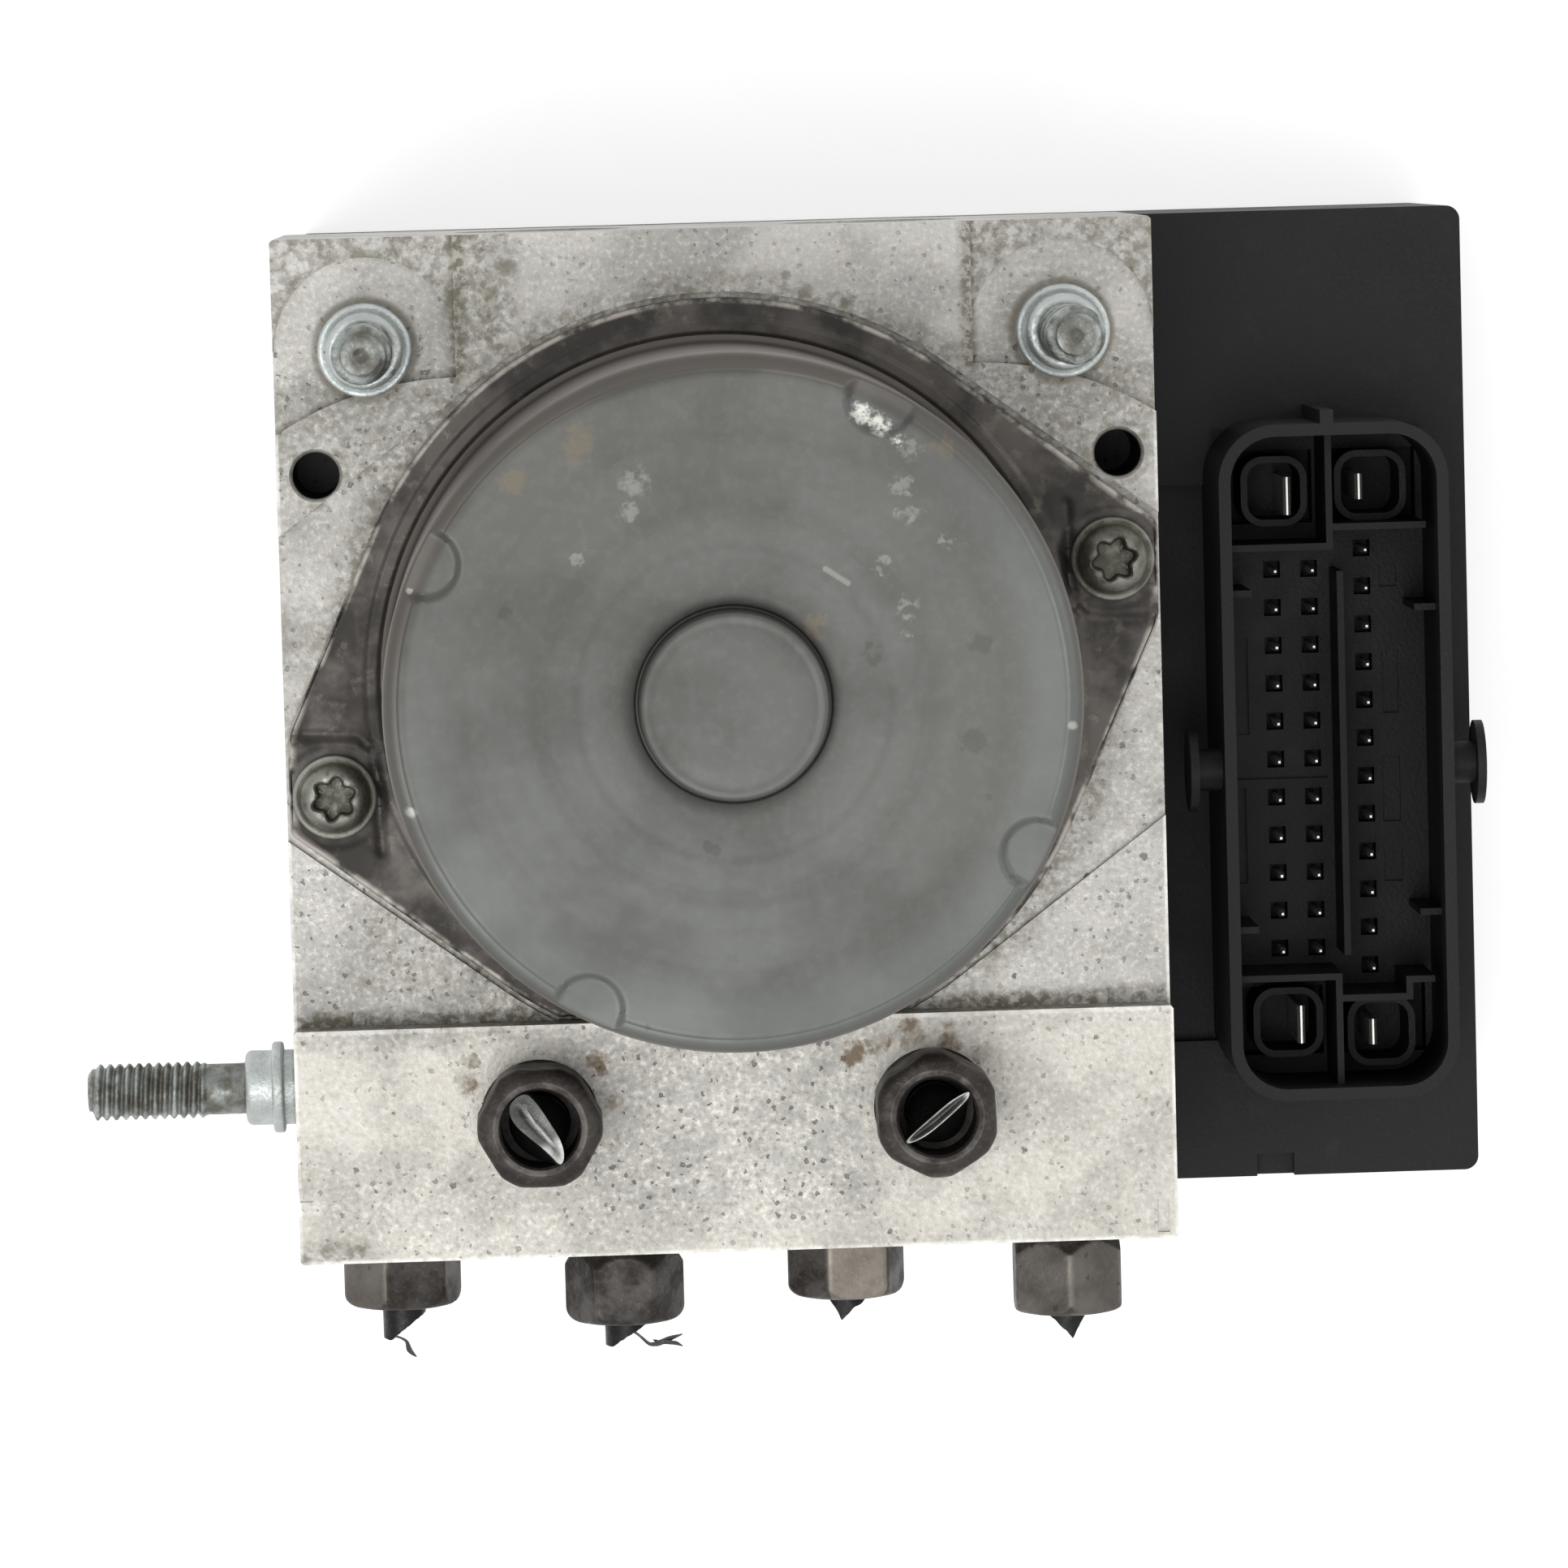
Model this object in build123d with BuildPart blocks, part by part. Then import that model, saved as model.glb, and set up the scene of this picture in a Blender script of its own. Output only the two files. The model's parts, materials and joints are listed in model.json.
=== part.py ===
from build123d import *

import os
from math import cos, radians, sin

os.makedirs("parts", exist_ok=True)

# The origin is on the motor's axis, on the underside of the control unit's cover. +Z runs up the
# motor's axis, +X to the connector side and -Y to the side with the four wheel ports.

# Fits
slip = 0.03  # radial running clearance of what turns or slides
snug = 0.02  # radial clearance of what is fixed
travel_gap = 0.3  # between a moving piece and what it stops short of
tip_gap = 1.0  # between a screw or plug and the end of its hole
near = 0.1  # how far from its place an edge or corner is looked for

# Stack along Z
ecu_height = 36.0
block_thickness = 44.0

# Hydraulic block
block_width = 89.0
block_top = 45.3
block_bottom = 58.1
ledge_start = 34.4
ledge_height = 4.0
block_edge = 0.3
seat_depth = 0.8
seat_margin = 0.6
pocket_inner = 26.1
pocket_low = 31.0
pocket_bend = (36.5, 29.4)
pocket_drop = 5.4
pocket_depth = 1.2
pad_radius = 9.3
pad_depth = 0.6
blind_hole_x = 40.5
blind_hole_y = 21.5
blind_hole_radius = 2.35
blind_hole_depth = 14.0
blind_hole_bevel = 0.35
clamp_mark_depth = 0.3
# marks of the clamp on the ledge, each as its middle, width and length
clamp_marks = ((-43.7, -51.0, 1.3, 1.4), (43.0, -55.8, 1.2, 3.4))

# Pump motor
can_radius = 33.85
can_wall = 2.0
can_height = 40.3
can_edge_radius = 1.5
face_dish = 0.7
boss_radius = 9.36
boss_rise = 3.8
boss_groove_width = 0.8
boss_groove_depth = 0.5
dimple_radius = 3.5
dimple_reach = 4.7
dimple_depth = 0.5
dimple_angles = (62.5, 154.0, 243.0, 332.0)
flange_radius = 38.3
flange_thickness = 2.0
flange_foot = 34.0
flange_ear_x = 44.2
flange_upper_angle = 53.0
flange_lower_angle = -24.5
flange_crown_radius = 1.6
bead_width = 1.2
bead_depth = 0.5
bead_offset = 5.2
bead_lean = 0.5
bead_end_inset = 1.2
bead_drop = 0.8
motor_screw_x = 39.6
motor_screw_y = 10.9
motor_screw_radius = 2.5
motor_screw_head_radius = 4.25
motor_screw_head_height = 3.2
motor_screw_head_bevel = 0.6
motor_screw_length = 14.0
drive_circle_radius = 1.9
drive_lobe_radius = 0.75
drive_depth = 1.8

# Armature of the motor
shaft_radius = 4.0
shaft_crown = 0.3
shaft_relief = 0.5
journal_margin = 0.5
core_radius = 26.6
core_length = 14.0
core_slots = 12
slot_width = 3.4
slot_root_radius = 11.0
slot_mouth = 1.0
tooth_tip = 1.6
end_turn_radius = 24.0
end_turn_height = 4.0
end_turn_gap = 1.0
commutator_radius = 9.0
commutator_length = 8.5
commutator_bars = 12
commutator_slit = 0.5
commutator_slit_depth = 0.8
commutator_gap = 0.8
magnet_thickness = 4.7
magnet_length = 18.0
magnet_count = 4
magnet_span = 76.0
brush_plate_thickness = 2.5
brush_plate_clearance = 1.0
brush_width = 5.0
brush_height = 6.0
brush_length = 8.0
brush_wear = 3.0
brush_gap = 0.05
brush_spring_length = 7.5
brush_wire = 0.6
brush_spring_radius = 1.8
brush_turns = 5
holder_wall = 1.0
contact_y = -26.0
contact_radius = 3.4
contact_blade_width = 3.0
contact_blade_thickness = 0.8
contact_blade_gap = 1.4
contact_foot = 0.5
contact_collar = 1.0
contact_tail = 1.0

# Ball bearing and eccentric
bearing_radius = 11.0
bearing_width = 7.0
bearing_ring = 2.0
ball_radius = 1.7
ball_count = 9
chamber_radius = 12.0
chamber_depth = 28.0
eccentric_offset = 1.0
eccentric_radius = 5.0
needle_radius = 1.0
needle_count = 14
needle_inset = 0.5
eccentric_ring_radius = 10.0
eccentric_length = 12.0
shaft_tail_radius = 3.0
shaft_tail_length = 3.5

# Pump elements, one to each side
pump_depth = 16.0
pump_bore_radius = 6.5
pump_bore_relief = 1.0
pump_way_clearance = 0.5
pump_sleeve_start = 16.0
pump_sleeve_length = 22.0
pump_guide_length = 11.0
pump_spring_room_radius = 4.6
pump_end_wall = 2.0
pump_outlet_radius = 1.0
pump_piston_radius = 3.0
pump_head_radius = 4.3
pump_head_length = 2.0
pump_wire = 0.8
pump_turns = 4
pump_plug_inset = 0.6
pump_plug_socket = 5.0
pump_plug_socket_depth = 3.0

# Low-pressure accumulators
accumulator_x = 17.0
accumulator_radius = 9.0
accumulator_depth = 18.0
accumulator_piston_length = 6.0
accumulator_piston_floor = 2.6
accumulator_cup_wall = 1.6
accumulator_cap_thickness = 3.5
accumulator_cap_inset = 0.5
accumulator_cap_bevel = 0.6
accumulator_gap = 0.1
accumulator_wire = 1.4
accumulator_turns = 3
seal_section = 1.0

# Solenoid valves: one inlet and one outlet valve for each wheel
valve_x = (-30.5, -10.5, 10.5, 30.5)
inlet_row_y = -20.0
outlet_row_y = 18.0
valve_radius = 5.0
valve_depth = 20.0
valve_nose_radius = 2.5
valve_nose_length = 4.0
dome_radius = 3.25
dome_wall = 0.5
dome_length = 20.0
dome_cap = 1.2
armature_length = 9.0
armature_room = 14.0
valve_lift = 0.3
plunger_radius = 0.75
plunger_length = 24.0
valve_wire = 0.5
valve_spring_radius = 1.6
valve_turns = 3
spring_gap = 0.1
coil_length = 16.0
coil_lift = 2.0
coil_wall = 1.0
coil_flange_radius = 7.4
winding_radius = 7.0
yoke_radius = 8.8
yoke_wall = 0.9
yoke_window_width = 6.0

# Brake line ports
wheel_port_x = (-34.75, -11.6, 11.6, 34.75)
port_radius = 5.0
port_depth = 11.0
inlet_port_x = 19.9
inlet_port_y = -43.9
inlet_port_depth = 12.0
inlet_port_radius = 6.0
drilling_radius = 1.2
drilling_drop = 3.6
inlet_drilling_length = 24.0

# Brake line nuts and the cut-off pipes left in them
nut_across_flats = 11.0
nut_corner_radius = 6.2
nut_bevel = 1.1
nut_bevel_slope = 1.6
nut_mouth_radius = 3.9
nut_mouth_depth = 3.0
nut_neck_length = 1.6
nut_neck_radius = 4.9
nut_thread_length = 9.0
wheel_nut_heights = (8.6, 10.95, 9.45, 11.25)
wheel_nut_turns = (4.0, 21.0, 9.0, 30.0)
inlet_nut_flats = 11.8
inlet_nut_corner = 6.3
inlet_nut_height = 9.0
inlet_nut_turns = (30.0, 2.0)
pipe_radius = 2.4
pipe_wall = 0.7
pipe_gap = 0.1
pipe_flare_radius = 3.6
pipe_flare_length = 1.5
flare_gap = 0.2
tear_margin = 1.0
# how far each wheel stub stands out, where its tip is, and how much is torn off to its left and right
wheel_stub_tears = (
    (3.1, -1.9, 0.3, 3.0),
    (2.2, -2.0, 0.2, 2.1),
    (1.6, -0.7, 1.3, 1.6),
    (2.5, 0.5, 2.3, 1.4),
)
inlet_pipe_radius = 3.0
inlet_flare_radius = 4.4
crush_length = 8.6
crush_thickness = 1.5
crush_corner = 0.67
crush_angles = (-68.0, 37.0)
crush_rise = 1.6

# Mounting studs
stud_x = 35.2
stud_y = 34.0
side_stud_y = -43.0
stud_base_radius = 3.9
stud_base_length = 1.9
stud_ring_radius = 4.75
stud_ring_length = 1.2
stud_collar_length = 2.8
stud_shank_radius = 2.65
stud_shank_length = 4.1
stud_thread_radius = 2.95
stud_thread_length = 12.3
stud_tip_bevel = 0.9
stud_root_radius = 3.0
stud_root_length = 5.5
stud_root_gap = 0.5

# Control unit housing
ecu_left = -44.0
ecu_right = 80.9
ecu_top = 45.0
ecu_bottom = -58.6
ecu_corner = 1.5
ecu_wall = 2.5
window_margin = 4.5
seal_width = 2.0
seal_depth = 1.0
seal_setback = 1.0
deck_recess_top = 16.0
deck_recess_bottom = -43.8
deck_recess_depth = 1.6
deck_recess_setback = 0.5
edge_notch_x = 59.0
edge_notch_width = 4.0
edge_notch_reach = 2.4
ecu_screw_x = 37.9
ecu_screw_top_y = 38.5
ecu_screw_bottom_y = -52.0
ecu_screw_radius = 2.0
ecu_screw_head_radius = 3.6
ecu_screw_head_height = 3.0
ecu_screw_seat = 8.0
ecu_screw_bite = 12.0
ecu_boss_radius = 5.0
screw_clearance = 0.2
head_clearance = 0.3

# Control unit cover and circuit board
cover_thickness = 2.5
cover_lip = 2.0
cover_lip_wall = 1.5
cover_gap = 0.1
board_z = 8.0
board_thickness = 1.6
board_gap = 0.5
pillar_radius = 2.0
pillars_x = (-20.0, 20.0, 50.0)
pillars_y = (-35.0, 24.0)
# processor, drivers and relay, each as its middle, length, width and height
chips = (
    (0.0, -1.0, 14.0, 14.0, 1.6),
    (20.0, -1.0, 10.0, 8.0, 2.2),
    (-20.0, -1.0, 10.0, 8.0, 2.2),
    (52.0, 34.0, 12.0, 8.0, 12.0),
)
capacitors_at = ((52.0, -48.0), (64.0, -48.0))
capacitor_radius = 4.0
capacitor_height = 14.0

# Connector
connector_x = 64.9
connector_y = -12.66
connector_width = 24.1
connector_height = 71.1
connector_corner = 6.0
connector_wall = 1.25
connector_rise = 19.0
socket_floor_rise = 4.5
blade_well_rise = 1.0
blade_well_margin = 2.0
rib_width = 0.7
rib_rise = 15.5
rib_setback = 1.2
pin_side = 0.64
pin_pitch = 4.05
pin_rise = 8.6
pin_tail = 1.2
pin_taper_length = 0.8
pin_taper = 14.0
pin_centre_y = -13.3
pin_pocket = 1.8
pin_pocket_depth = 3.0
left_columns_x = (59.55, 63.5)
left_column_pins = 11
right_column_x = 69.15
right_column_pins = 12
blade_thickness = 0.8
blade_bevel = 0.3
blade_rise = 12.5
# each blade as its middle and width
blades_at = ((60.6, 15.1, 4.0), (68.2, 15.9, 2.7), (60.9, -40.9, 4.0), (68.5, -41.9, 2.7))
collar_length = 7.4
collar_corner = 2.4
collar_wall = 0.7
collar_rise = 8.5
# the collar round each blade as its middle and width
collars_at = ((59.5, 15.5, 7.0), (69.7, 15.9, 7.6), (59.8, -40.95, 7.4), (69.7, -42.15, 7.2))
upper_left_rib_y = 9.85
upper_right_rib_y = 11.85
lower_left_rib_y = -35.6
lower_right_rib_y = -37.9
lower_step_x = 72.15
lower_step_y = -36.1
middle_rib_x = 64.7
column_wall_x = 66.0
column_wall_length = 40.0
column_wall_drop = 3.0
nub_length = 1.9
left_nubs_y = (5.1, -30.4)
right_nubs_y = (3.2, -29.0)
floor_slot_depth = 0.4
# sunk lines in the socket's floor, each as its middle, width and length
floor_slots = (
    (56.2, -5.5, 1.2, 10.2),
    (55.75, -21.4, 1.1, 10.2),
    (60.15, -15.27, 9.9, 0.3),
    (71.85, 6.0, 1.9, 2.4),
    (71.95, -5.3, 1.7, 6.8),
    (71.85, -16.8, 1.9, 7.0),
    (71.9, -25.05, 2.0, 3.3),
)
key_tab_x = 64.3
key_tab_width = 1.4
key_tab_reach = 1.4
pivot_y = -13.4
pivot_drop = 5.0
pivot_radius = 2.2
pivot_head_radius = 4.4
pivot_head_thickness = 0.9
pivot_reach = 15.55

# Derived heights
block_back = ecu_height
block_face = block_back + block_thickness
ledge_face = block_face + ledge_height
seat_z = block_face - seat_depth
can_face = seat_z + can_height
boss_top = can_face + boss_rise - face_dish
pocket_floor = block_face - pocket_depth
stud_seat = pocket_floor - pad_depth
port_z = block_back + block_thickness / 2
pump_z = block_face - pump_depth
bearing_bottom = seat_z - bearing_width
chamber_bottom = block_face - chamber_depth
deck = ecu_height
housing_roof = deck - ecu_wall
socket_floor = deck + socket_floor_rise
rim_z = deck + connector_rise
half_width = block_width / 2
accumulator_floor_y = block_top - accumulator_depth
accumulator_cap_y = block_top - accumulator_cap_inset - accumulator_cap_thickness
brush_plate_top = seat_z + brush_plate_thickness
commutator_bottom = brush_plate_top + commutator_gap
core_bottom = commutator_bottom + commutator_length + end_turn_gap + end_turn_height
inner_radius = can_radius - can_wall
inner_face = can_face - can_wall
dome_end = block_back - dome_length
dome_bore_radius = dome_radius - dome_wall
armature_radius = dome_bore_radius - slip


def polar(radius, angle):
    """The point at a distance from the axis and an angle from +X."""
    return (radius * cos(radians(angle)), radius * sin(radians(angle)))


def turn(plane, *steps, mode=Mode.ADD):
    """Round steps along a plane's normal, each as its radius, start and end."""
    for radius, start, end in steps:
        with Locations(plane.offset(min(start, end))):
            Cylinder(radius, abs(end - start), align=(Align.CENTER, Align.CENTER, Align.MIN), mode=mode)


def finish(part, name):
    """Name a finished piece and write it."""
    part.label = name
    export_step(part, f"parts/{name}.step")


def across(way, y, z):
    """The plane across X at the motor's axis, facing the side that way gives."""
    return Plane(origin=(0, y, z), x_dir=(0, 1, 0), z_dir=(way, 0, 0))


def up_y(x, z):
    """The plane across Y, facing +Y."""
    return Plane(origin=(x, 0, z), x_dir=(1, 0, 0), z_dir=(0, 1, 0))


def down_y(x, z):
    """The plane across Y, facing -Y."""
    return Plane(origin=(x, 0, z), x_dir=(1, 0, 0), z_dir=(0, -1, 0))


def on_z(x, y):
    """The plane across Z at a place beside the motor's axis."""
    return Plane(origin=(x, y, 0))


def outline_of_ears(radius, upper, lower, ear_x):
    """Corners of a plate with two ears, its straight edges tangent to a circle at two angles."""
    corners = [polar(radius, lower)]
    for angle in (lower, upper):
        corners.append((ear_x, (radius - ear_x * cos(radians(angle))) / sin(radians(angle))))
    corners.append(polar(radius, upper))
    return corners + [(-x, -y) for x, y in corners]


upper_seat_corner_y = (flange_radius + seat_margin - half_width * cos(radians(flange_upper_angle))) / sin(
    radians(flange_upper_angle)
)
seat_tangent = polar(flange_radius + seat_margin, flange_upper_angle)
motor_screws_at = [(motor_screw_x, motor_screw_y), (-motor_screw_x, -motor_screw_y)]
inlet_ports_at = [(-inlet_port_x, inlet_port_y), (inlet_port_x, inlet_port_y)]
ecu_screws_at = [
    (way * ecu_screw_x, y) for way in (-1, 1) for y in (ecu_screw_top_y, ecu_screw_bottom_y)
]
valves_at = [(x, y) for y in (inlet_row_y, outlet_row_y) for x in valve_x]

with BuildSketch(Plane.XY) as stud_pocket:
    with BuildLine():
        low_edge = ThreePointArc(
            (pocket_inner, pocket_low), pocket_bend, (half_width, pocket_low - pocket_drop)
        )
        Polyline(low_edge @ 1, (half_width, block_top), (pocket_inner, block_top), low_edge @ 0)
    make_face()

# The pad a stud stands on: round above the stud, straight-sided below it
with BuildSketch(Plane.XY) as stud_pad:
    with Locations((stud_x, stud_y)):
        Circle(pad_radius)
        Rectangle(2 * pad_radius, 2 * pad_radius, align=(Align.CENTER, Align.MAX))
    add(stud_pocket.sketch, mode=Mode.INTERSECT)

# Hydraulic block: a drawn aluminium bar, milled and drilled
with BuildPart() as hydraulic_block:
    with BuildSketch(Plane.XY.offset(block_back)):
        with Locations((0, (block_top - block_bottom) / 2)):
            Rectangle(block_width, block_top + block_bottom)
    extrude(amount=block_thickness)
    with BuildSketch(Plane.XY.offset(block_face)):
        with Locations((0, -(ledge_start + block_bottom) / 2)):
            Rectangle(block_width, block_bottom - ledge_start)
    extrude(amount=ledge_height)
    chamfer(hydraulic_block.edges().filter_by(Axis.Z), block_edge)
    # motor seat, wide enough on both sides for the motor either way round
    with BuildSketch(Plane.XY.offset(seat_z)):
        Circle(flange_radius + seat_margin)
        with BuildLine():
            Polyline(
                seat_tangent,
                (half_width + block_edge, upper_seat_corner_y),
                (half_width + block_edge, 0),
                (0, 0),
                close=True,
            )
        make_face()
        mirror(about=Plane.XZ)
        mirror(about=Plane.YZ)
        with Locations((0, -ledge_start)):
            Rectangle(block_width, 2 * flange_radius, align=(Align.CENTER, Align.MAX), mode=Mode.SUBTRACT)
    extrude(amount=seat_depth, mode=Mode.SUBTRACT)
    # stud pockets in the two upper corners, with the pads in them
    for outline, floor in ((stud_pocket, pocket_floor), (stud_pad, stud_seat)):
        with BuildSketch(Plane.XY.offset(floor)):
            add(outline.sketch)
            mirror(about=Plane.YZ)
        extrude(amount=block_face - floor, mode=Mode.SUBTRACT)
    with BuildSketch(Plane.XY.offset(ledge_face)):
        for x, y, width, length in clamp_marks:
            with Locations((x, y)):
                Rectangle(width, length)
    extrude(amount=-clamp_mark_depth, mode=Mode.SUBTRACT)
    for way in (-1, 1):
        corner = on_z(way * stud_x, stud_y)
        turn(corner, (stud_root_radius, stud_seat - stud_root_length, stud_seat), mode=Mode.SUBTRACT)
        hole = on_z(way * blind_hole_x, blind_hole_y)
        turn(hole, (blind_hole_radius, block_face - blind_hole_depth, block_face), mode=Mode.SUBTRACT)
        with Locations(hole.offset(block_face)):
            Cone(
                blind_hole_radius,
                blind_hole_radius + blind_hole_bevel,
                blind_hole_bevel,
                align=(Align.CENTER, Align.CENTER, Align.MAX),
                mode=Mode.SUBTRACT,
            )
    # shaft bore: bearing seat, then the eccentric's chamber
    turn(Plane.XY, (bearing_radius, bearing_bottom, seat_z), mode=Mode.SUBTRACT)
    turn(Plane.XY, (chamber_radius, chamber_bottom, bearing_bottom), mode=Mode.SUBTRACT)
    turn(on_z(0, contact_y), (contact_radius + snug, block_back, seat_z), mode=Mode.SUBTRACT)
    for x, y in motor_screws_at:
        turn(on_z(x, y), (motor_screw_radius, seat_z - motor_screw_length, seat_z), mode=Mode.SUBTRACT)
    for way in (-1, 1):
        side = across(way, 0, pump_z)
        turn(side, (pump_bore_radius, pump_sleeve_start - pump_bore_relief, half_width), mode=Mode.SUBTRACT)
        turn(side, (pump_piston_radius + pump_way_clearance, 0, pump_sleeve_start), mode=Mode.SUBTRACT)
        turn(
            up_y(way * accumulator_x, port_z),
            (accumulator_radius, accumulator_floor_y, block_top),
            mode=Mode.SUBTRACT,
        )
    for x, y in valves_at:
        turn(
            on_z(x, y),
            (valve_radius, block_back, block_back + valve_depth),
            (valve_nose_radius, block_back, block_back + valve_depth + valve_nose_length),
            mode=Mode.SUBTRACT,
        )
    # wheel ports, each drilled on to its inlet valve, and the two inlet ports in the ledge
    drilling_z = port_z - drilling_drop
    wheel_port_end = block_bottom - port_depth
    for x in wheel_port_x:
        turn(down_y(x, port_z), (port_radius, wheel_port_end, block_bottom), mode=Mode.SUBTRACT)
        turn(down_y(x, drilling_z), (drilling_radius, -inlet_row_y, wheel_port_end), mode=Mode.SUBTRACT)
    for x, y in inlet_ports_at:
        port = on_z(x, y)
        port_end = ledge_face - inlet_port_depth
        turn(port, (inlet_port_radius, port_end, ledge_face), mode=Mode.SUBTRACT)
        turn(port, (drilling_radius, port_end - inlet_drilling_length, port_end), mode=Mode.SUBTRACT)
    turn(
        across(-1, side_stud_y, port_z),
        (stud_root_radius, half_width - stud_root_length, half_width),
        mode=Mode.SUBTRACT,
    )
    for x, y in ecu_screws_at:
        turn(on_z(x, y), (ecu_screw_radius, block_back, block_back + ecu_screw_bite), mode=Mode.SUBTRACT)
finish(hydraulic_block.part, "hydraulic_block")

# Motor can: drawn steel with its flange, boss and locating dimples
with BuildPart() as motor_can:
    with BuildSketch(Plane.XZ) as wall:
        with BuildLine():
            Polyline(
                (inner_radius, seat_z),
                (inner_radius, inner_face),
                (boss_radius, inner_face - face_dish),
                (boss_radius - can_wall, inner_face - face_dish),
                (boss_radius - can_wall, boss_top - can_wall),
                (0, boss_top - can_wall),
                (0, boss_top),
                (boss_radius, boss_top),
                (boss_radius, can_face - face_dish - boss_groove_depth),
                (boss_radius + boss_groove_width, can_face - face_dish - boss_groove_depth),
                (boss_radius + 2 * boss_groove_width, can_face - face_dish),
                (can_radius, can_face),
                (can_radius, seat_z),
                close=True,
            )
        make_face()
        outer_corner = wall.vertices().filter_by_position(Axis.X, can_radius - near, can_radius + near)
        fillet(outer_corner.sort_by(Axis.Y)[-1], can_edge_radius)
        boss_corner = wall.vertices().filter_by_position(Axis.X, boss_radius - near, boss_radius + near)
        fillet(boss_corner.sort_by(Axis.Y)[-1], can_wall / 2)
    revolve(axis=Axis.Z)
    with BuildSketch(Plane.XY.offset(seat_z)) as plate:
        with BuildLine():
            ears = outline_of_ears(flange_radius, flange_upper_angle, flange_lower_angle, flange_ear_x)
            Polyline(*ears, close=True)
        make_face()
        for ear_x in (-flange_ear_x, flange_ear_x):
            crown = plate.vertices().filter_by_position(Axis.X, ear_x - near, ear_x + near)
            fillet(crown, flange_crown_radius)
        Circle(flange_radius)
        with Locations((0, -flange_foot)):
            Rectangle(4 * can_radius, can_radius, align=(Align.CENTER, Align.MAX), mode=Mode.SUBTRACT)
        Circle(inner_radius, mode=Mode.SUBTRACT)
        with Locations(*motor_screws_at):
            Circle(motor_screw_radius + snug, mode=Mode.SUBTRACT)
    extrude(amount=flange_thickness)
    # a pressed channel bends around each screw
    for turned in (0, 180):
        with BuildSketch(Plane.XY.offset(seat_z + flange_thickness).rotated((0, 0, turned))):
            with BuildLine():
                bend_x = motor_screw_x - bead_offset + bead_lean
                bend_y = motor_screw_y - bead_offset
                Polyline(
                    (bend_x, motor_screw_y + bead_offset),
                    (bend_x, bend_y),
                    (flange_ear_x - bead_end_inset, bend_y - bead_drop),
                )
                offset(amount=bead_width / 2, side=Side.BOTH)
            make_face()
        extrude(amount=-bead_depth, mode=Mode.SUBTRACT)
    for angle in dimple_angles:
        x, y = polar(can_radius - dimple_reach + dimple_radius, angle)
        turn(on_z(x, y), (dimple_radius, can_face - dimple_depth, can_face), mode=Mode.SUBTRACT)
finish(motor_can.part, "motor_can")

# Flange screws, with a six-lobed drive
with BuildPart() as motor_screws:
    for x, y in motor_screws_at:
        seat = on_z(x, y)
        top = seat_z + flange_thickness
        turn(
            seat,
            (motor_screw_radius - snug, seat_z - motor_screw_length + tip_gap, top),
            (motor_screw_head_radius, top, top + motor_screw_head_height),
        )
        with BuildSketch(seat.offset(top + motor_screw_head_height)):
            Circle(drive_circle_radius)
            with PolarLocations(drive_circle_radius, 6):
                Circle(drive_lobe_radius)
        extrude(amount=-drive_depth, mode=Mode.SUBTRACT)
    head_rims = motor_screws.edges().filter_by(GeomType.CIRCLE).group_by(Axis.Z)[-1]
    outer_rims = [rim for rim in head_rims if rim.radius > motor_screw_head_radius / 2]
    chamfer(outer_rims, motor_screw_head_bevel)
finish(motor_screws.part, "motor_screws")

# Armature: shaft with its eccentric journal, core, winding and commutator
with BuildPart() as motor_shaft:
    shaft_top = boss_top - can_wall - shaft_crown
    journal_end = pump_z - eccentric_length / 2 - journal_margin
    journal_top = pump_z + eccentric_length / 2 + journal_margin
    turn(Plane.XY, (shaft_radius, bearing_bottom, shaft_top))
    turn(Plane.XY, (shaft_radius - shaft_relief, journal_top, bearing_bottom))
    turn(on_z(0, eccentric_offset), (eccentric_radius, journal_end, journal_top))
    turn(Plane.XY, (shaft_tail_radius, journal_end - shaft_tail_length, journal_end))
finish(motor_shaft.part, "motor_shaft")

with BuildPart() as bearing_inner_ring:
    groove_radius = (shaft_radius + bearing_radius) / 2
    turn(Plane.XY, (shaft_radius + bearing_ring, bearing_bottom, seat_z))
    turn(Plane.XY, (shaft_radius + snug, bearing_bottom, seat_z), mode=Mode.SUBTRACT)
    with Locations((0, 0, bearing_bottom + bearing_width / 2)):
        Torus(groove_radius, ball_radius + slip, mode=Mode.SUBTRACT)
finish(bearing_inner_ring.part, "bearing_inner_ring")

with BuildPart() as bearing_outer_ring:
    turn(Plane.XY, (bearing_radius - snug, bearing_bottom, seat_z))
    turn(Plane.XY, (bearing_radius - bearing_ring, bearing_bottom, seat_z), mode=Mode.SUBTRACT)
    with Locations((0, 0, bearing_bottom + bearing_width / 2)):
        Torus(groove_radius, ball_radius + slip, mode=Mode.SUBTRACT)
finish(bearing_outer_ring.part, "bearing_outer_ring")

with BuildPart() as bearing_balls:
    with Locations((0, 0, bearing_bottom + bearing_width / 2)):
        with PolarLocations(groove_radius, ball_count):
            Sphere(ball_radius)
finish(bearing_balls.part, "bearing_balls")

with BuildPart() as rotor_core:
    with BuildSketch(Plane.XY.offset(core_bottom)):
        Circle(core_radius)
        Circle(shaft_radius + snug, mode=Mode.SUBTRACT)
        with PolarLocations(0, core_slots):
            with Locations((slot_root_radius, 0)):
                Rectangle(
                    core_radius - tooth_tip - slot_root_radius,
                    slot_width,
                    align=(Align.MIN, Align.CENTER),
                    mode=Mode.SUBTRACT,
                )
            with Locations((core_radius, 0)):
                Rectangle(4 * tooth_tip, slot_mouth, mode=Mode.SUBTRACT)
    extrude(amount=core_length)
finish(rotor_core.part, "rotor_core")

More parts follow.
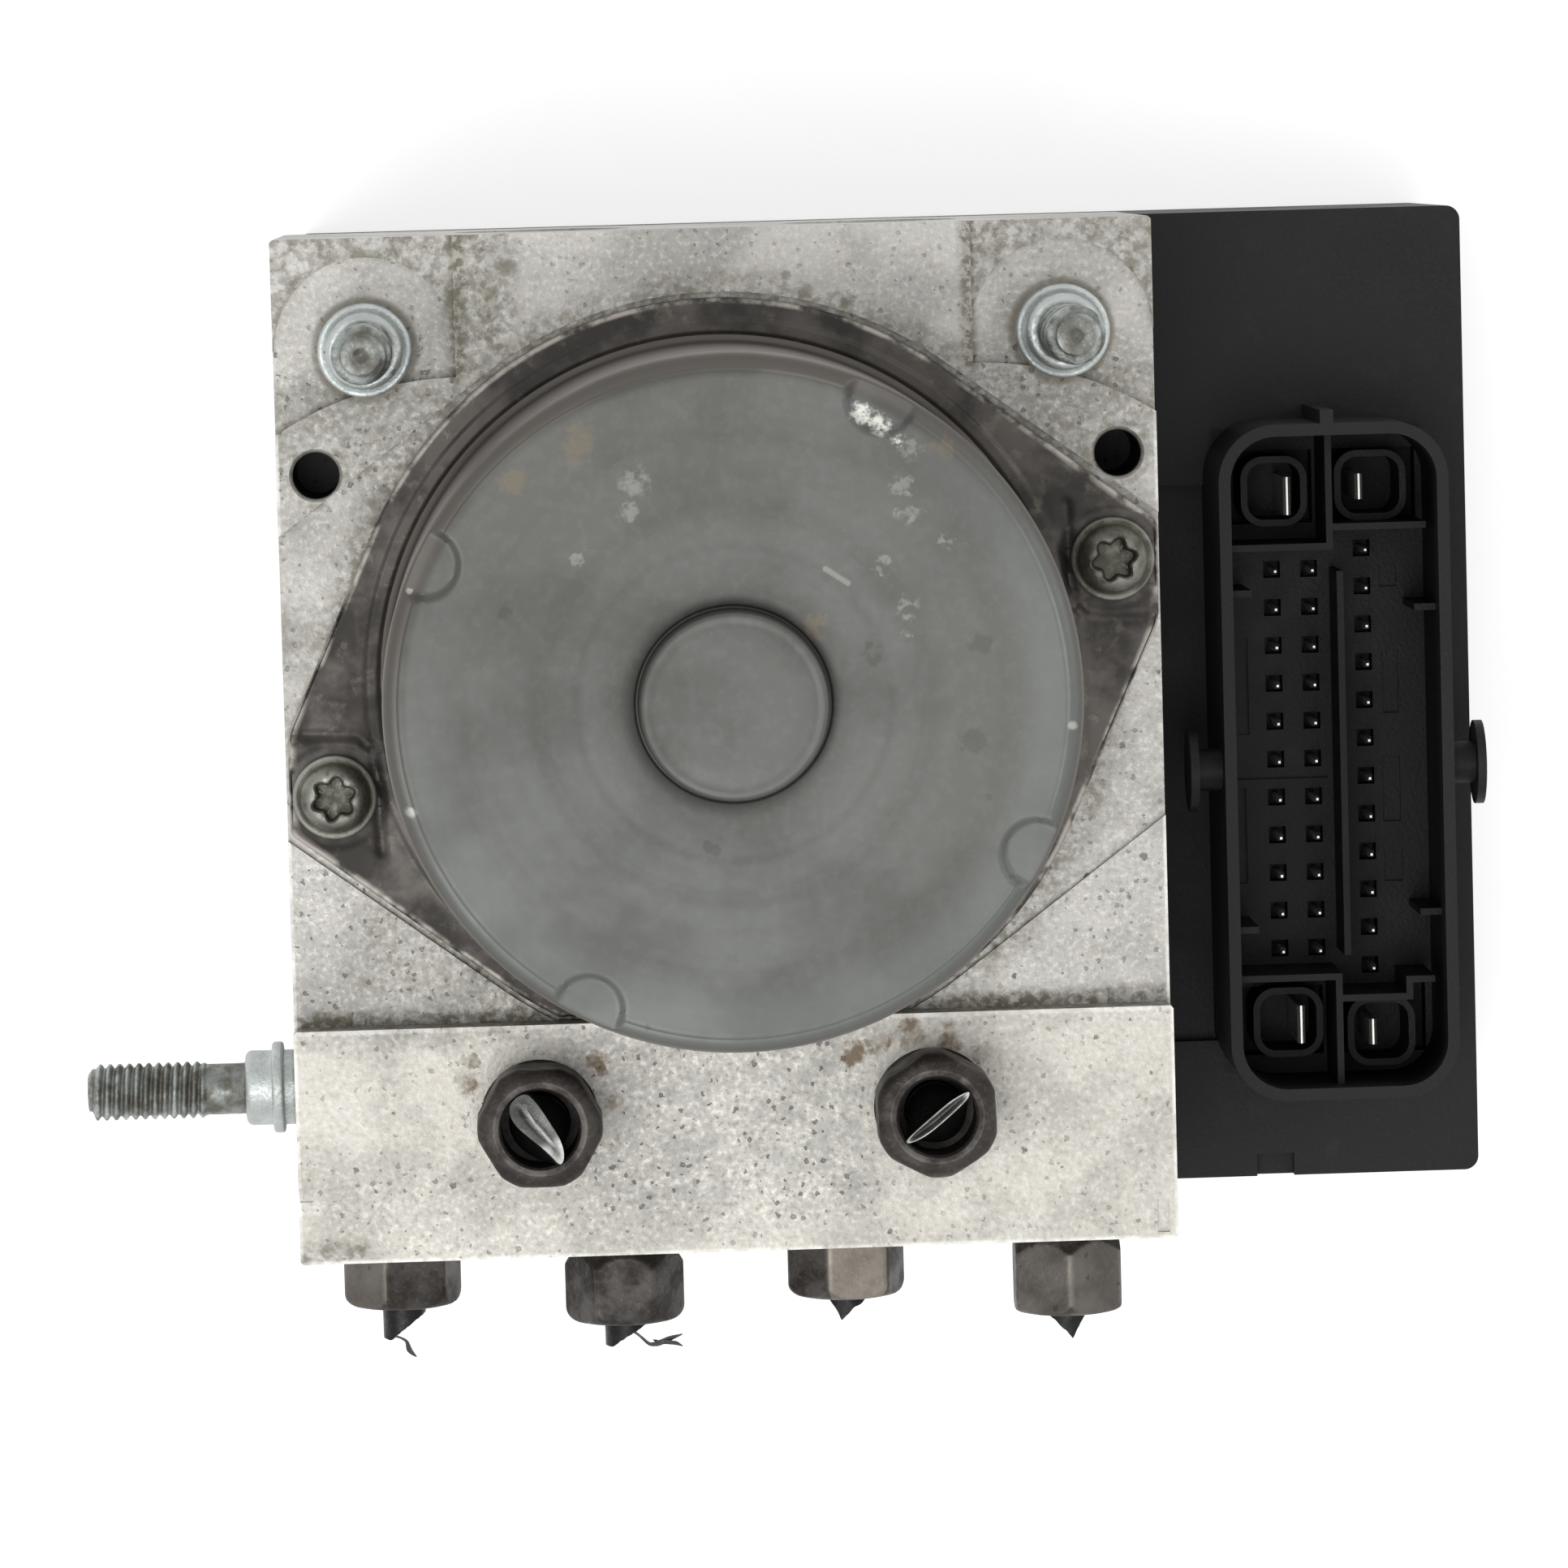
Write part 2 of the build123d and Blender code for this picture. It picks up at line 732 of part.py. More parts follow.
# Winding: the bars in the slots and the end turns over both faces of the core
with BuildPart() as rotor_winding:
    with BuildSketch(Plane.XY.offset(core_bottom - end_turn_height)):
        with PolarLocations(0, core_slots):
            with Locations((slot_root_radius + snug, 0)):
                Rectangle(
                    end_turn_radius - slot_root_radius - 2 * snug,
                    slot_width - 2 * snug,
                    align=(Align.MIN, Align.CENTER),
                )
    extrude(amount=core_length + 2 * end_turn_height)
    for start in (core_bottom - end_turn_height, core_bottom + core_length + snug):
        with BuildSketch(Plane.XY.offset(start)):
            Circle(end_turn_radius)
            Circle(slot_root_radius, mode=Mode.SUBTRACT)
        extrude(amount=end_turn_height - snug)
finish(rotor_winding.part, "rotor_winding")

with BuildPart() as commutator:
    with BuildSketch(Plane.XY.offset(commutator_bottom)):
        Circle(commutator_radius)
        Circle(shaft_radius + snug, mode=Mode.SUBTRACT)
        with PolarLocations(commutator_radius, commutator_bars):
            Rectangle(2 * commutator_slit_depth, commutator_slit, mode=Mode.SUBTRACT)
    extrude(amount=commutator_length)
finish(commutator.part, "commutator")

with BuildPart() as motor_magnets:
    magnet_middle = core_bottom + core_length / 2
    with BuildSketch(Plane.XY.offset(magnet_middle - magnet_length / 2)):
        Circle(inner_radius - snug)
        Circle(inner_radius - magnet_thickness, mode=Mode.SUBTRACT)
        gap_span = 2 * can_radius * sin(radians((360 / magnet_count - magnet_span) / 2))
        with PolarLocations(inner_radius, magnet_count):
            Rectangle(3 * magnet_thickness, gap_span, mode=Mode.SUBTRACT)
    extrude(amount=magnet_length)
finish(motor_magnets.part, "motor_magnets")

with BuildPart() as boss_bush:
    bush_top = boss_top - can_wall
    bush_bottom = inner_face - face_dish
    turn(Plane.XY, (boss_radius - can_wall - snug, bush_bottom, bush_top))
    turn(Plane.XY, (shaft_radius + slip, bush_bottom, bush_top), mode=Mode.SUBTRACT)
finish(boss_bush.part, "boss_bush")

# Brush plate with a holder for each of the two brushes, and the motor's plug through the block
brush_tip = commutator_radius + brush_gap
brush_z = commutator_bottom + commutator_length / 2
holder_end = brush_tip + brush_length + brush_spring_length
with BuildPart() as brush_plate:
    turn(Plane.XY, (inner_radius - snug, seat_z, brush_plate_top))
    turn(Plane.XY, (shaft_radius + brush_plate_clearance, seat_z, brush_plate_top), mode=Mode.SUBTRACT)
    for way in (-1, 1):
        holder = across(way, 0, brush_z)
        with BuildSketch(holder.offset(brush_tip + brush_wear)):
            Rectangle(brush_width + 2 * holder_wall, 2 * (brush_z - brush_plate_top))
            Rectangle(brush_width + 2 * slip, brush_height + 2 * slip, mode=Mode.SUBTRACT)
        extrude(amount=holder_end - brush_tip - brush_wear)
        with BuildSketch(holder.offset(holder_end)):
            Rectangle(brush_width + 2 * holder_wall, 2 * (brush_z - brush_plate_top))
        extrude(amount=holder_wall)
    turn(on_z(0, contact_y), (contact_radius + contact_collar, seat_z, brush_plate_top + contact_collar))
    turn(on_z(0, contact_y), (contact_radius + snug, seat_z, brush_plate_top), mode=Mode.SUBTRACT)
finish(brush_plate.part, "brush_plate")


def spring(plane, radius, wire, length, turns):
    """A coil spring that stands on a plane and keeps within its length."""
    rise = length - wire
    with BuildPart() as coil:
        with BuildLine() as path:
            Helix(rise / turns, rise, radius, center=plane.offset(wire / 2).origin, direction=plane.z_dir)
        with BuildSketch(Plane(origin=path.line @ 0, z_dir=path.line % 0)):
            Circle(wire / 2)
        sweep(is_frenet=True)
    return coil.part


for side, way in (("left", -1), ("right", 1)):
    with BuildPart() as brush:
        with BuildSketch(across(way, 0, brush_z).offset(brush_tip)):
            Rectangle(brush_width, brush_height)
        extrude(amount=brush_length)
    finish(brush.part, f"brush_{side}")

    seat = across(way, 0, brush_z).offset(brush_tip + brush_length)
    brush_spring = spring(seat, brush_spring_radius, brush_wire, brush_spring_length, brush_turns)
    finish(brush_spring, f"brush_spring_{side}")

# Plug that takes the motor's current through the block to the circuit board
with BuildPart() as motor_contact:
    plug = on_z(0, contact_y)
    turn(plug, (contact_radius, block_back - contact_foot, brush_plate_top))
    with BuildSketch(plug.offset(board_z - contact_tail)):
        with GridLocations(contact_blade_gap + contact_blade_thickness, 0, 2, 1):
            Rectangle(contact_blade_thickness, contact_blade_width)
    extrude(amount=block_back - contact_foot - board_z + contact_tail)
finish(motor_contact.part, "motor_contact")

# Eccentric's needle bearing
with BuildPart() as eccentric_ring:
    ring = on_z(0, eccentric_offset)
    ring_bottom = pump_z - eccentric_length / 2
    needle_track = eccentric_radius + 2 * needle_radius + 2 * slip
    turn(ring, (eccentric_ring_radius, ring_bottom, ring_bottom + eccentric_length))
    turn(ring, (needle_track, ring_bottom, ring_bottom + eccentric_length), mode=Mode.SUBTRACT)
finish(eccentric_ring.part, "eccentric_ring")

with BuildPart() as eccentric_needles:
    needle_length = eccentric_length - 2 * needle_inset
    with Locations(on_z(0, eccentric_offset).offset(ring_bottom + needle_inset)):
        with PolarLocations(eccentric_radius + needle_radius + slip, needle_count):
            Cylinder(needle_radius, needle_length, align=(Align.CENTER, Align.CENTER, Align.MIN))
finish(eccentric_needles.part, "eccentric_needles")

# Pump elements
piston_tip = eccentric_ring_radius + eccentric_offset + travel_gap
guide_end = pump_sleeve_start + pump_guide_length
sleeve_end = pump_sleeve_start + pump_sleeve_length
head_end = guide_end + pump_head_length
with BuildPart() as pump_sleeves:
    for way in (-1, 1):
        side = across(way, 0, pump_z)
        turn(side, (pump_bore_radius - snug, pump_sleeve_start, sleeve_end))
        turn(
            side,
            (pump_piston_radius + slip, pump_sleeve_start, guide_end),
            (pump_spring_room_radius, guide_end, sleeve_end - pump_end_wall),
            (pump_outlet_radius, sleeve_end - pump_end_wall, sleeve_end),
            mode=Mode.SUBTRACT,
        )
finish(pump_sleeves.part, "pump_sleeves")

with BuildPart() as pump_plugs:
    for way in (-1, 1):
        side = across(way, 0, pump_z)
        plug_end = half_width - pump_plug_inset
        turn(side, (pump_bore_radius - snug, sleeve_end, plug_end))
        with BuildSketch(side.offset(plug_end)):
            RegularPolygon(pump_plug_socket / 2, 6, major_radius=False)
        extrude(amount=-pump_plug_socket_depth, mode=Mode.SUBTRACT)
finish(pump_plugs.part, "pump_plugs")

for side, way in (("left", -1), ("right", 1)):
    bore = across(way, 0, pump_z)
    with BuildPart() as pump_piston:
        turn(bore, (pump_piston_radius, piston_tip, guide_end), (pump_head_radius, guide_end, head_end))
    finish(pump_piston.part, f"pump_piston_{side}")

    room = sleeve_end - pump_end_wall - head_end
    pump_spring = spring(bore.offset(head_end), pump_head_radius - pump_wire, pump_wire, room, pump_turns)
    finish(pump_spring, f"pump_spring_{side}")

# Accumulators
accumulator_fit = accumulator_radius - slip
cup_radius = accumulator_fit - accumulator_cup_wall - seal_section
cup_start = accumulator_floor_y + accumulator_gap
cup_floor = cup_start + accumulator_piston_floor
cup_end = cup_start + accumulator_piston_length
for side, way in (("left", -1), ("right", 1)):
    bore = up_y(way * accumulator_x, port_z)
    groove = bore.offset(cup_start + accumulator_piston_length / 2)
    with BuildPart() as accumulator_piston:
        turn(bore, (accumulator_fit, cup_start, cup_end))
        turn(bore, (cup_radius, cup_floor, cup_end), mode=Mode.SUBTRACT)
        with Locations(groove):
            Torus(accumulator_fit - seal_section, seal_section + snug, mode=Mode.SUBTRACT)
    finish(accumulator_piston.part, f"accumulator_piston_{side}")

    with BuildPart() as accumulator_seal:
        with Locations(groove):
            Torus(accumulator_fit - seal_section, seal_section)
    finish(accumulator_seal.part, f"accumulator_seal_{side}")

    seat = bore.offset(cup_floor)
    room = accumulator_cap_y - cup_floor
    accumulator_spring = spring(
        seat, cup_radius - accumulator_wire, accumulator_wire, room, accumulator_turns
    )
    finish(accumulator_spring, f"accumulator_spring_{side}")

with BuildPart() as accumulator_caps:
    for way in (-1, 1):
        bore = up_y(way * accumulator_x, port_z)
        turn(bore, (accumulator_radius - snug, accumulator_cap_y, block_top - accumulator_cap_inset))
    cap_rims = accumulator_caps.edges().filter_by(GeomType.CIRCLE).group_by(Axis.Y)[-1]
    chamfer(cap_rims, accumulator_cap_bevel)
finish(accumulator_caps.part, "accumulator_caps")

# Solenoid valves: body with its dome, sprung armature with its plunger, and coil
bore_start = dome_end + dome_cap
bore_end = bore_start + armature_room
plunger_top = block_back + valve_depth
for kind, row_y, parked in (
    ("inlet", inlet_row_y, bore_start + travel_gap),
    ("outlet", outlet_row_y, bore_end - armature_length - travel_gap / 2),
):
    with BuildPart() as valve_bodies:
        for x in valve_x:
            place = on_z(x, row_y)
            turn(
                place,
                (dome_radius, dome_end, block_back),
                (valve_radius - snug, block_back, plunger_top),
                (valve_nose_radius - snug, plunger_top, plunger_top + valve_nose_length - tip_gap),
            )
            turn(
                place,
                (dome_bore_radius, bore_start, bore_end),
                (plunger_radius + slip, bore_end, plunger_top),
                mode=Mode.SUBTRACT,
            )
    finish(valve_bodies.part, f"{kind}_valve_bodies")

    for number, x in enumerate(valve_x, start=1):
        with BuildPart() as armature:
            turn(
                on_z(x, row_y),
                (armature_radius, parked, parked + armature_length),
                (plunger_radius, parked + armature_length, parked + plunger_length),
            )
        finish(armature.part, f"{kind}_armature_{number}")

# Each valve spring keeps clear of its armature's lift
low = bore_start + travel_gap + armature_length + valve_lift + spring_gap
high = bore_end - armature_length - travel_gap / 2 - valve_lift - spring_gap
valve_coils = []
for row_y, foot, head in ((inlet_row_y, low, bore_end), (outlet_row_y, bore_start, high)):
    for x in valve_x:
        seat = on_z(x, row_y).offset(foot)
        valve_coils.append(spring(seat, valve_spring_radius, valve_wire, head - foot, valve_turns))
with BuildPart() as valve_springs:
    add(valve_coils)
finish(valve_springs.part, "valve_springs")

coil_bottom = dome_end + coil_lift
coil_top = coil_bottom + coil_length
with BuildPart() as coil_bobbins:
    for x, y in valves_at:
        place = on_z(x, y)
        turn(
            place,
            (dome_radius + snug + coil_wall, coil_bottom, coil_top),
            (coil_flange_radius, coil_bottom, coil_bottom + coil_wall),
            (coil_flange_radius, coil_top - coil_wall, coil_top),
        )
        turn(place, (dome_radius + snug, coil_bottom, coil_top), mode=Mode.SUBTRACT)
finish(coil_bobbins.part, "coil_bobbins")

with BuildPart() as coil_windings:
    for x, y in valves_at:
        place = on_z(x, y)
        turn(place, (winding_radius, coil_bottom + coil_wall, coil_top - coil_wall))
        turn(
            place,
            (dome_radius + 2 * snug + coil_wall, coil_bottom + coil_wall, coil_top - coil_wall),
            mode=Mode.SUBTRACT,
        )
finish(coil_windings.part, "coil_windings")

with BuildPart() as coil_yokes:
    for x, y in valves_at:
        place = on_z(x, y)
        turn(place, (yoke_radius, coil_bottom - yoke_wall, coil_top + yoke_wall))
        turn(
            place,
            (yoke_radius - yoke_wall, coil_bottom, coil_top),
            (dome_radius + snug, coil_bottom - yoke_wall, coil_top + yoke_wall),
            mode=Mode.SUBTRACT,
        )
        with BuildSketch(place.offset(coil_bottom)):
            Rectangle(3 * yoke_radius, yoke_window_width)
        extrude(amount=coil_length, mode=Mode.SUBTRACT)
finish(coil_yokes.part, "coil_yokes")

# Control unit housing: a moulded tub under the block, with the connector standing beside it
ecu_middle_x = (ecu_left + ecu_right) / 2
ecu_middle_y = (ecu_top + ecu_bottom) / 2
ecu_width = ecu_right - ecu_left
ecu_length = ecu_top - ecu_bottom
window_left = ecu_left + window_margin
window_right = half_width - window_margin
window_bottom = ecu_bottom + window_margin
window_top = ecu_top - window_margin
window_x = (window_left + window_right) / 2
window_y = (window_bottom + window_top) / 2
window_width = window_right - window_left
window_length = window_top - window_bottom
seal_inner_width = window_width + 2 * seal_setback
seal_inner_length = window_length + 2 * seal_setback
seal_outer_width = seal_inner_width + 2 * seal_width
seal_outer_length = seal_inner_length + 2 * seal_width
socket_left = connector_x - connector_width / 2 + connector_wall
socket_right = connector_x + connector_width / 2 - connector_wall
socket_top = connector_y + connector_height / 2 - connector_wall
socket_bottom = connector_y - connector_height / 2 + connector_wall
rib_top = deck + rib_rise
well_floor = deck + blade_well_rise
left_pins = [
    (x, pin_centre_y + pin_pitch * (i - (left_column_pins - 1) / 2))
    for x in left_columns_x
    for i in range(left_column_pins)
]
right_pins = [
    (right_column_x, pin_centre_y + pin_pitch * (i - (right_column_pins - 1) / 2))
    for i in range(right_column_pins)
]
pins_at = left_pins + right_pins


def socket_outline(inset):
    """The connector's rounded outline, drawn in by a distance."""
    with BuildSketch(Plane.XY) as outline:
        with Locations((connector_x, connector_y)):
            RectangleRounded(
                connector_width - 2 * inset, connector_height - 2 * inset, connector_corner - inset
            )
    return outline.sketch


def wall_between(start, end):
    """A thin rib's footprint from one point to another, along X or Y."""
    with BuildSketch(Plane.XY) as rib:
        with Locations(((start[0] + end[0]) / 2, (start[1] + end[1]) / 2)):
            Rectangle(abs(start[0] - end[0]) + rib_width, abs(start[1] - end[1]) + rib_width)
    return rib.sketch


def collar_outline(x, y, width, inset):
    """The rounded footprint of the collar round a blade."""
    with BuildSketch(Plane.XY) as collar:
        with Locations((x, y)):
            RectangleRounded(width - 2 * inset, collar_length - 2 * inset, collar_corner - inset)
    return collar.sketch


socket_outer = socket_outline(0)
socket_inner = socket_outline(connector_wall)
rib_prints = [
    wall_between((socket_left, upper_left_rib_y), (middle_rib_x, upper_left_rib_y)),
    wall_between((middle_rib_x, upper_left_rib_y), (middle_rib_x, socket_top)),
    wall_between((middle_rib_x, upper_right_rib_y), (socket_right - rib_setback, upper_right_rib_y)),
    wall_between((socket_left, lower_left_rib_y), (middle_rib_x, lower_left_rib_y)),
    wall_between((middle_rib_x, lower_left_rib_y), (middle_rib_x, socket_bottom)),
    wall_between((middle_rib_x, lower_right_rib_y), (lower_step_x, lower_right_rib_y)),
    wall_between((lower_step_x, lower_right_rib_y), (lower_step_x, lower_step_y)),
    wall_between((lower_step_x, lower_step_y), (socket_right - rib_setback, lower_step_y)),
]
column_wall_print = wall_between(
    (column_wall_x, pin_centre_y - column_wall_length / 2),
    (column_wall_x, pin_centre_y + column_wall_length / 2),
)
nub_prints = [wall_between((socket_left, y), (socket_left + nub_length, y)) for y in left_nubs_y]
nub_prints += [wall_between((socket_right, y), (socket_right - nub_length, y)) for y in right_nubs_y]
collar_prints = [collar_outline(x, y, width, 0) for x, y, width in collars_at]
collar_holes = [collar_outline(x, y, width, collar_wall) for x, y, width in collars_at]

with BuildPart() as ecu_housing:
    with BuildSketch(Plane.XY.offset(cover_thickness)):
        with Locations((ecu_middle_x, ecu_middle_y)):
            RectangleRounded(ecu_width, ecu_length, ecu_corner)
    extrude(amount=deck - cover_thickness)
    with BuildSketch(Plane.XY.offset(cover_thickness)):
        with Locations((ecu_middle_x, ecu_middle_y)):
            Rectangle(ecu_width - 2 * ecu_wall, ecu_length - 2 * ecu_wall)
    extrude(amount=housing_roof - cover_thickness, mode=Mode.SUBTRACT)
    # window for the valve coils, and the seal's groove round it
    with BuildSketch(Plane.XY.offset(housing_roof)):
        with Locations((window_x, window_y)):
            Rectangle(window_width, window_length)
    extrude(amount=ecu_wall, mode=Mode.SUBTRACT)
    for x, y in ecu_screws_at:
        turn(on_z(x, y), (ecu_boss_radius, cover_thickness, deck))
    with BuildSketch(Plane.XY.offset(deck)):
        with Locations((window_x, window_y)):
            Rectangle(seal_outer_width, seal_outer_length)
            Rectangle(seal_inner_width, seal_inner_length, mode=Mode.SUBTRACT)
    extrude(amount=-seal_depth, mode=Mode.SUBTRACT)
    for x, y in ecu_screws_at:
        turn(
            on_z(x, y),
            (ecu_screw_radius + screw_clearance, cover_thickness, deck),
            (ecu_screw_head_radius + head_clearance, cover_thickness, ecu_screw_seat),
            mode=Mode.SUBTRACT,
        )
    # sunk strip of the deck between the block and the connector, and a notch in the lower edge
    with BuildSketch(Plane.XY.offset(deck)):
        with Locations((half_width + deck_recess_setback, (deck_recess_top + deck_recess_bottom) / 2)):
            Rectangle(
                socket_left - half_width,
                deck_recess_top - deck_recess_bottom,
                align=(Align.MIN, Align.CENTER),
            )
        with Locations((edge_notch_x, ecu_bottom)):
            Rectangle(edge_notch_width, edge_notch_reach, align=(Align.CENTER, Align.MIN))
    extrude(amount=-deck_recess_depth, mode=Mode.SUBTRACT)
    # connector shroud with its floor, ribs, collars and pivots
    extrude(Plane.XY.offset(housing_roof) * socket_outer, amount=rim_z - housing_roof)
    extrude(Plane.XY.offset(socket_floor) * socket_inner, amount=rim_z - socket_floor, mode=Mode.SUBTRACT)
    with BuildSketch(Plane.XY.offset(well_floor)):
        for low, high in ((upper_left_rib_y, socket_top), (socket_bottom, lower_left_rib_y)):
            for left, right in ((socket_left, middle_rib_x), (middle_rib_x, socket_right)):
                with Locations(((left + right) / 2, (low + high) / 2)):
                    Rectangle(right - left - 2 * rib_width, high - low - 2 * blade_well_margin)
    extrude(amount=socket_floor - well_floor, mode=Mode.SUBTRACT)
    for footprint in rib_prints:
        extrude(Plane.XY.offset(well_floor) * footprint, amount=rib_top - well_floor)
    column_wall_height = rib_top - socket_floor - column_wall_drop
    extrude(Plane.XY.offset(socket_floor) * column_wall_print, amount=column_wall_height)
    for footprint in nub_prints:
        extrude(Plane.XY.offset(socket_floor) * footprint, amount=rib_top - socket_floor)
    for footprint, hole in zip(collar_prints, collar_holes):
        extrude(Plane.XY.offset(well_floor) * footprint, amount=collar_rise)
        extrude(Plane.XY.offset(well_floor) * hole, amount=collar_rise, mode=Mode.SUBTRACT)
    with BuildSketch(Plane.XY.offset(socket_floor)):
        with Locations(*pins_at):
            Rectangle(pin_pocket, pin_pocket)
    extrude(amount=-pin_pocket_depth, mode=Mode.SUBTRACT)
    with BuildSketch(Plane.XY.offset(socket_floor)):
        for x, y, width, length in floor_slots:
            with Locations((x, y)):
                Rectangle(width, length)
    extrude(amount=-floor_slot_depth, mode=Mode.SUBTRACT)
    with BuildSketch(Plane.XY.offset(housing_roof)):
        with Locations(*pins_at):
            Rectangle(pin_side + 2 * snug, pin_side + 2 * snug)
        for x, y, width in blades_at:
            with Locations((x, y)):
                Rectangle(blade_thickness + 2 * snug, width + 2 * snug)
    extrude(amount=socket_floor - housing_roof, mode=Mode.SUBTRACT)
    with BuildSketch(Plane.XY.offset(deck)):
        with Locations((key_tab_x, connector_y + connector_height / 2)):
            Rectangle(key_tab_width, 2 * key_tab_reach)
        with Locations((key_tab_x, connector_y)):
            Rectangle(key_tab_width, connector_height - connector_wall, mode=Mode.SUBTRACT)
    extrude(amount=connector_rise)
    for way in (-1, 1):
        pivot = Plane(origin=(connector_x, pivot_y, rim_z - pivot_drop), z_dir=(way, 0, 0))
        turn(
            pivot,
            (pivot_radius, connector_width / 2 - connector_wall / 2, pivot_reach),
            (pivot_head_radius, pivot_reach - pivot_head_thickness, pivot_reach),
        )
finish(ecu_housing.part, "ecu_housing")

# Terminals, from the circuit board up into the connector
with BuildPart() as signal_pins:
    pin_top = deck + pin_rise
    with BuildSketch(Plane.XY.offset(board_z - pin_tail)):
        with Locations(*pins_at):
            Rectangle(pin_side, pin_side)
    extrude(amount=pin_top - pin_taper_length - board_z + pin_tail)
    with BuildSketch(Plane.XY.offset(pin_top - pin_taper_length)):
        with Locations(*pins_at):
            Rectangle(pin_side, pin_side)
    extrude(amount=pin_taper_length, taper=pin_taper)
finish(signal_pins.part, "signal_pins")

with BuildPart() as power_blades:
    with BuildSketch(Plane.XY.offset(board_z - pin_tail)):
        for x, y, width in blades_at:
            with Locations((x, y)):
                Rectangle(blade_thickness, width)
    extrude(amount=deck + blade_rise - board_z + pin_tail)
    tip_edges = power_blades.edges().group_by(Axis.Z)[-1].filter_by(Axis.Y)
    chamfer(tip_edges, blade_bevel)
finish(power_blades.part, "power_blades")

with BuildPart() as ecu_seal:
    with BuildSketch(Plane.XY.offset(deck - seal_depth)):
        with Locations((window_x, window_y)):
            Rectangle(seal_outer_width - 2 * snug, seal_outer_length - 2 * snug)
            Rectangle(seal_inner_width + 2 * snug, seal_inner_length + 2 * snug, mode=Mode.SUBTRACT)
    extrude(amount=seal_depth)
finish(ecu_seal.part, "ecu_seal")

with BuildPart() as ecu_screws:
    for x, y in ecu_screws_at:
        head_bottom = ecu_screw_seat - ecu_screw_head_height
        turn(
            on_z(x, y),
            (ecu_screw_head_radius, head_bottom, ecu_screw_seat),
            (ecu_screw_radius - snug, ecu_screw_seat, block_back + ecu_screw_bite - tip_gap),
        )
        with BuildSketch(on_z(x, y).offset(head_bottom)):
            Circle(drive_circle_radius)
            with PolarLocations(drive_circle_radius, 6):
                Circle(drive_lobe_radius)
        extrude(amount=drive_depth, mode=Mode.SUBTRACT)
finish(ecu_screws.part, "ecu_screws")

with BuildPart() as ecu_cover:
    with BuildSketch(Plane.XY):
        with Locations((ecu_middle_x, ecu_middle_y)):
            RectangleRounded(ecu_width, ecu_length, ecu_corner)
    extrude(amount=cover_thickness)
    with BuildSketch(Plane.XY.offset(cover_thickness)):
        lip_width = ecu_width - 2 * (ecu_wall + cover_gap)
        lip_length = ecu_length - 2 * (ecu_wall + cover_gap)
        with Locations((ecu_middle_x, ecu_middle_y)):
            Rectangle(lip_width, lip_length)
            Rectangle(lip_width - 2 * cover_lip_wall, lip_length - 2 * cover_lip_wall, mode=Mode.SUBTRACT)
        with Locations(*ecu_screws_at):
            Circle(ecu_boss_radius + cover_gap, mode=Mode.SUBTRACT)
    extrude(amount=cover_lip)
    for x in pillars_x:
        for y in pillars_y:
            turn(on_z(x, y), (pillar_radius, cover_thickness, board_z))
    for x, y in ecu_screws_at:
        turn(on_z(x, y), (ecu_screw_head_radius + head_clearance, 0, cover_thickness), mode=Mode.SUBTRACT)
finish(ecu_cover.part, "ecu_cover")

with BuildPart() as circuit_board:
    with BuildSketch(Plane.XY.offset(board_z)):
        with Locations((ecu_middle_x, ecu_middle_y)):
            Rectangle(ecu_width - 2 * (ecu_wall + board_gap), ecu_length - 2 * (ecu_wall + board_gap))
        with Locations(*ecu_screws_at):
            Circle(ecu_boss_radius + board_gap, mode=Mode.SUBTRACT)
        with Locations(*pins_at):
            Rectangle(pin_side + 2 * snug, pin_side + 2 * snug, mode=Mode.SUBTRACT)
        for x, y, width in blades_at:
            with Locations((x, y)):
                Rectangle(blade_thickness + 2 * snug, width + 2 * snug, mode=Mode.SUBTRACT)
        with Locations((0, contact_y)):
            Rectangle(
                contact_blade_gap + 2 * contact_blade_thickness + 2 * snug,
                contact_blade_width + 2 * snug,
                mode=Mode.SUBTRACT,
            )
    extrude(amount=board_thickness)
finish(circuit_board.part, "circuit_board")

with BuildPart() as board_parts:
    board_top = board_z + board_thickness
    for x, y, length, width, height in chips:
        with Locations((x, y, board_top)):
            Box(length, width, height, align=(Align.CENTER, Align.CENTER, Align.MIN))
    for x, y in capacitors_at:
        turn(on_z(x, y), (capacitor_radius, board_top, board_top + capacitor_height))
finish(board_parts.part, "board_parts")

# Mounting studs: ring, collar and thread, pressed into the two upper corners and the left side
with BuildPart() as mounting_studs:
    seats = [on_z(way * stud_x, stud_y).offset(stud_seat) for way in (-1, 1)]
    seats.append(across(-1, side_stud_y, port_z).offset(half_width))
    ring_end = stud_base_length + stud_ring_length
    collar_end = ring_end + stud_collar_length
    shank_end = collar_end + stud_shank_length
    stud_end = shank_end + stud_thread_length
    for seat in seats:
        turn(
            seat,
            (stud_root_radius - snug, stud_root_gap - stud_root_length, 0),
            (stud_base_radius, 0, collar_end),
            (stud_ring_radius, stud_base_length, ring_end),
            (stud_shank_radius, collar_end, shank_end),
            (stud_thread_radius, shank_end, stud_end - stud_tip_bevel),
        )
        with Locations(seat.offset(stud_end - stud_tip_bevel)):
            Cone(
                stud_thread_radius,
                stud_thread_radius - stud_tip_bevel,
                stud_tip_bevel,
                align=(Align.CENTER, Align.CENTER, Align.MIN),
            )
finish(mounting_studs.part, "mounting_studs")

# Brake line nuts: four in the wheel ports, two in the inlet ports
wheel_seats = [down_y(x, port_z).offset(block_bottom) for x in wheel_port_x]
inlet_seats = [on_z(x, y).offset(ledge_face) for x, y in inlet_ports_at]


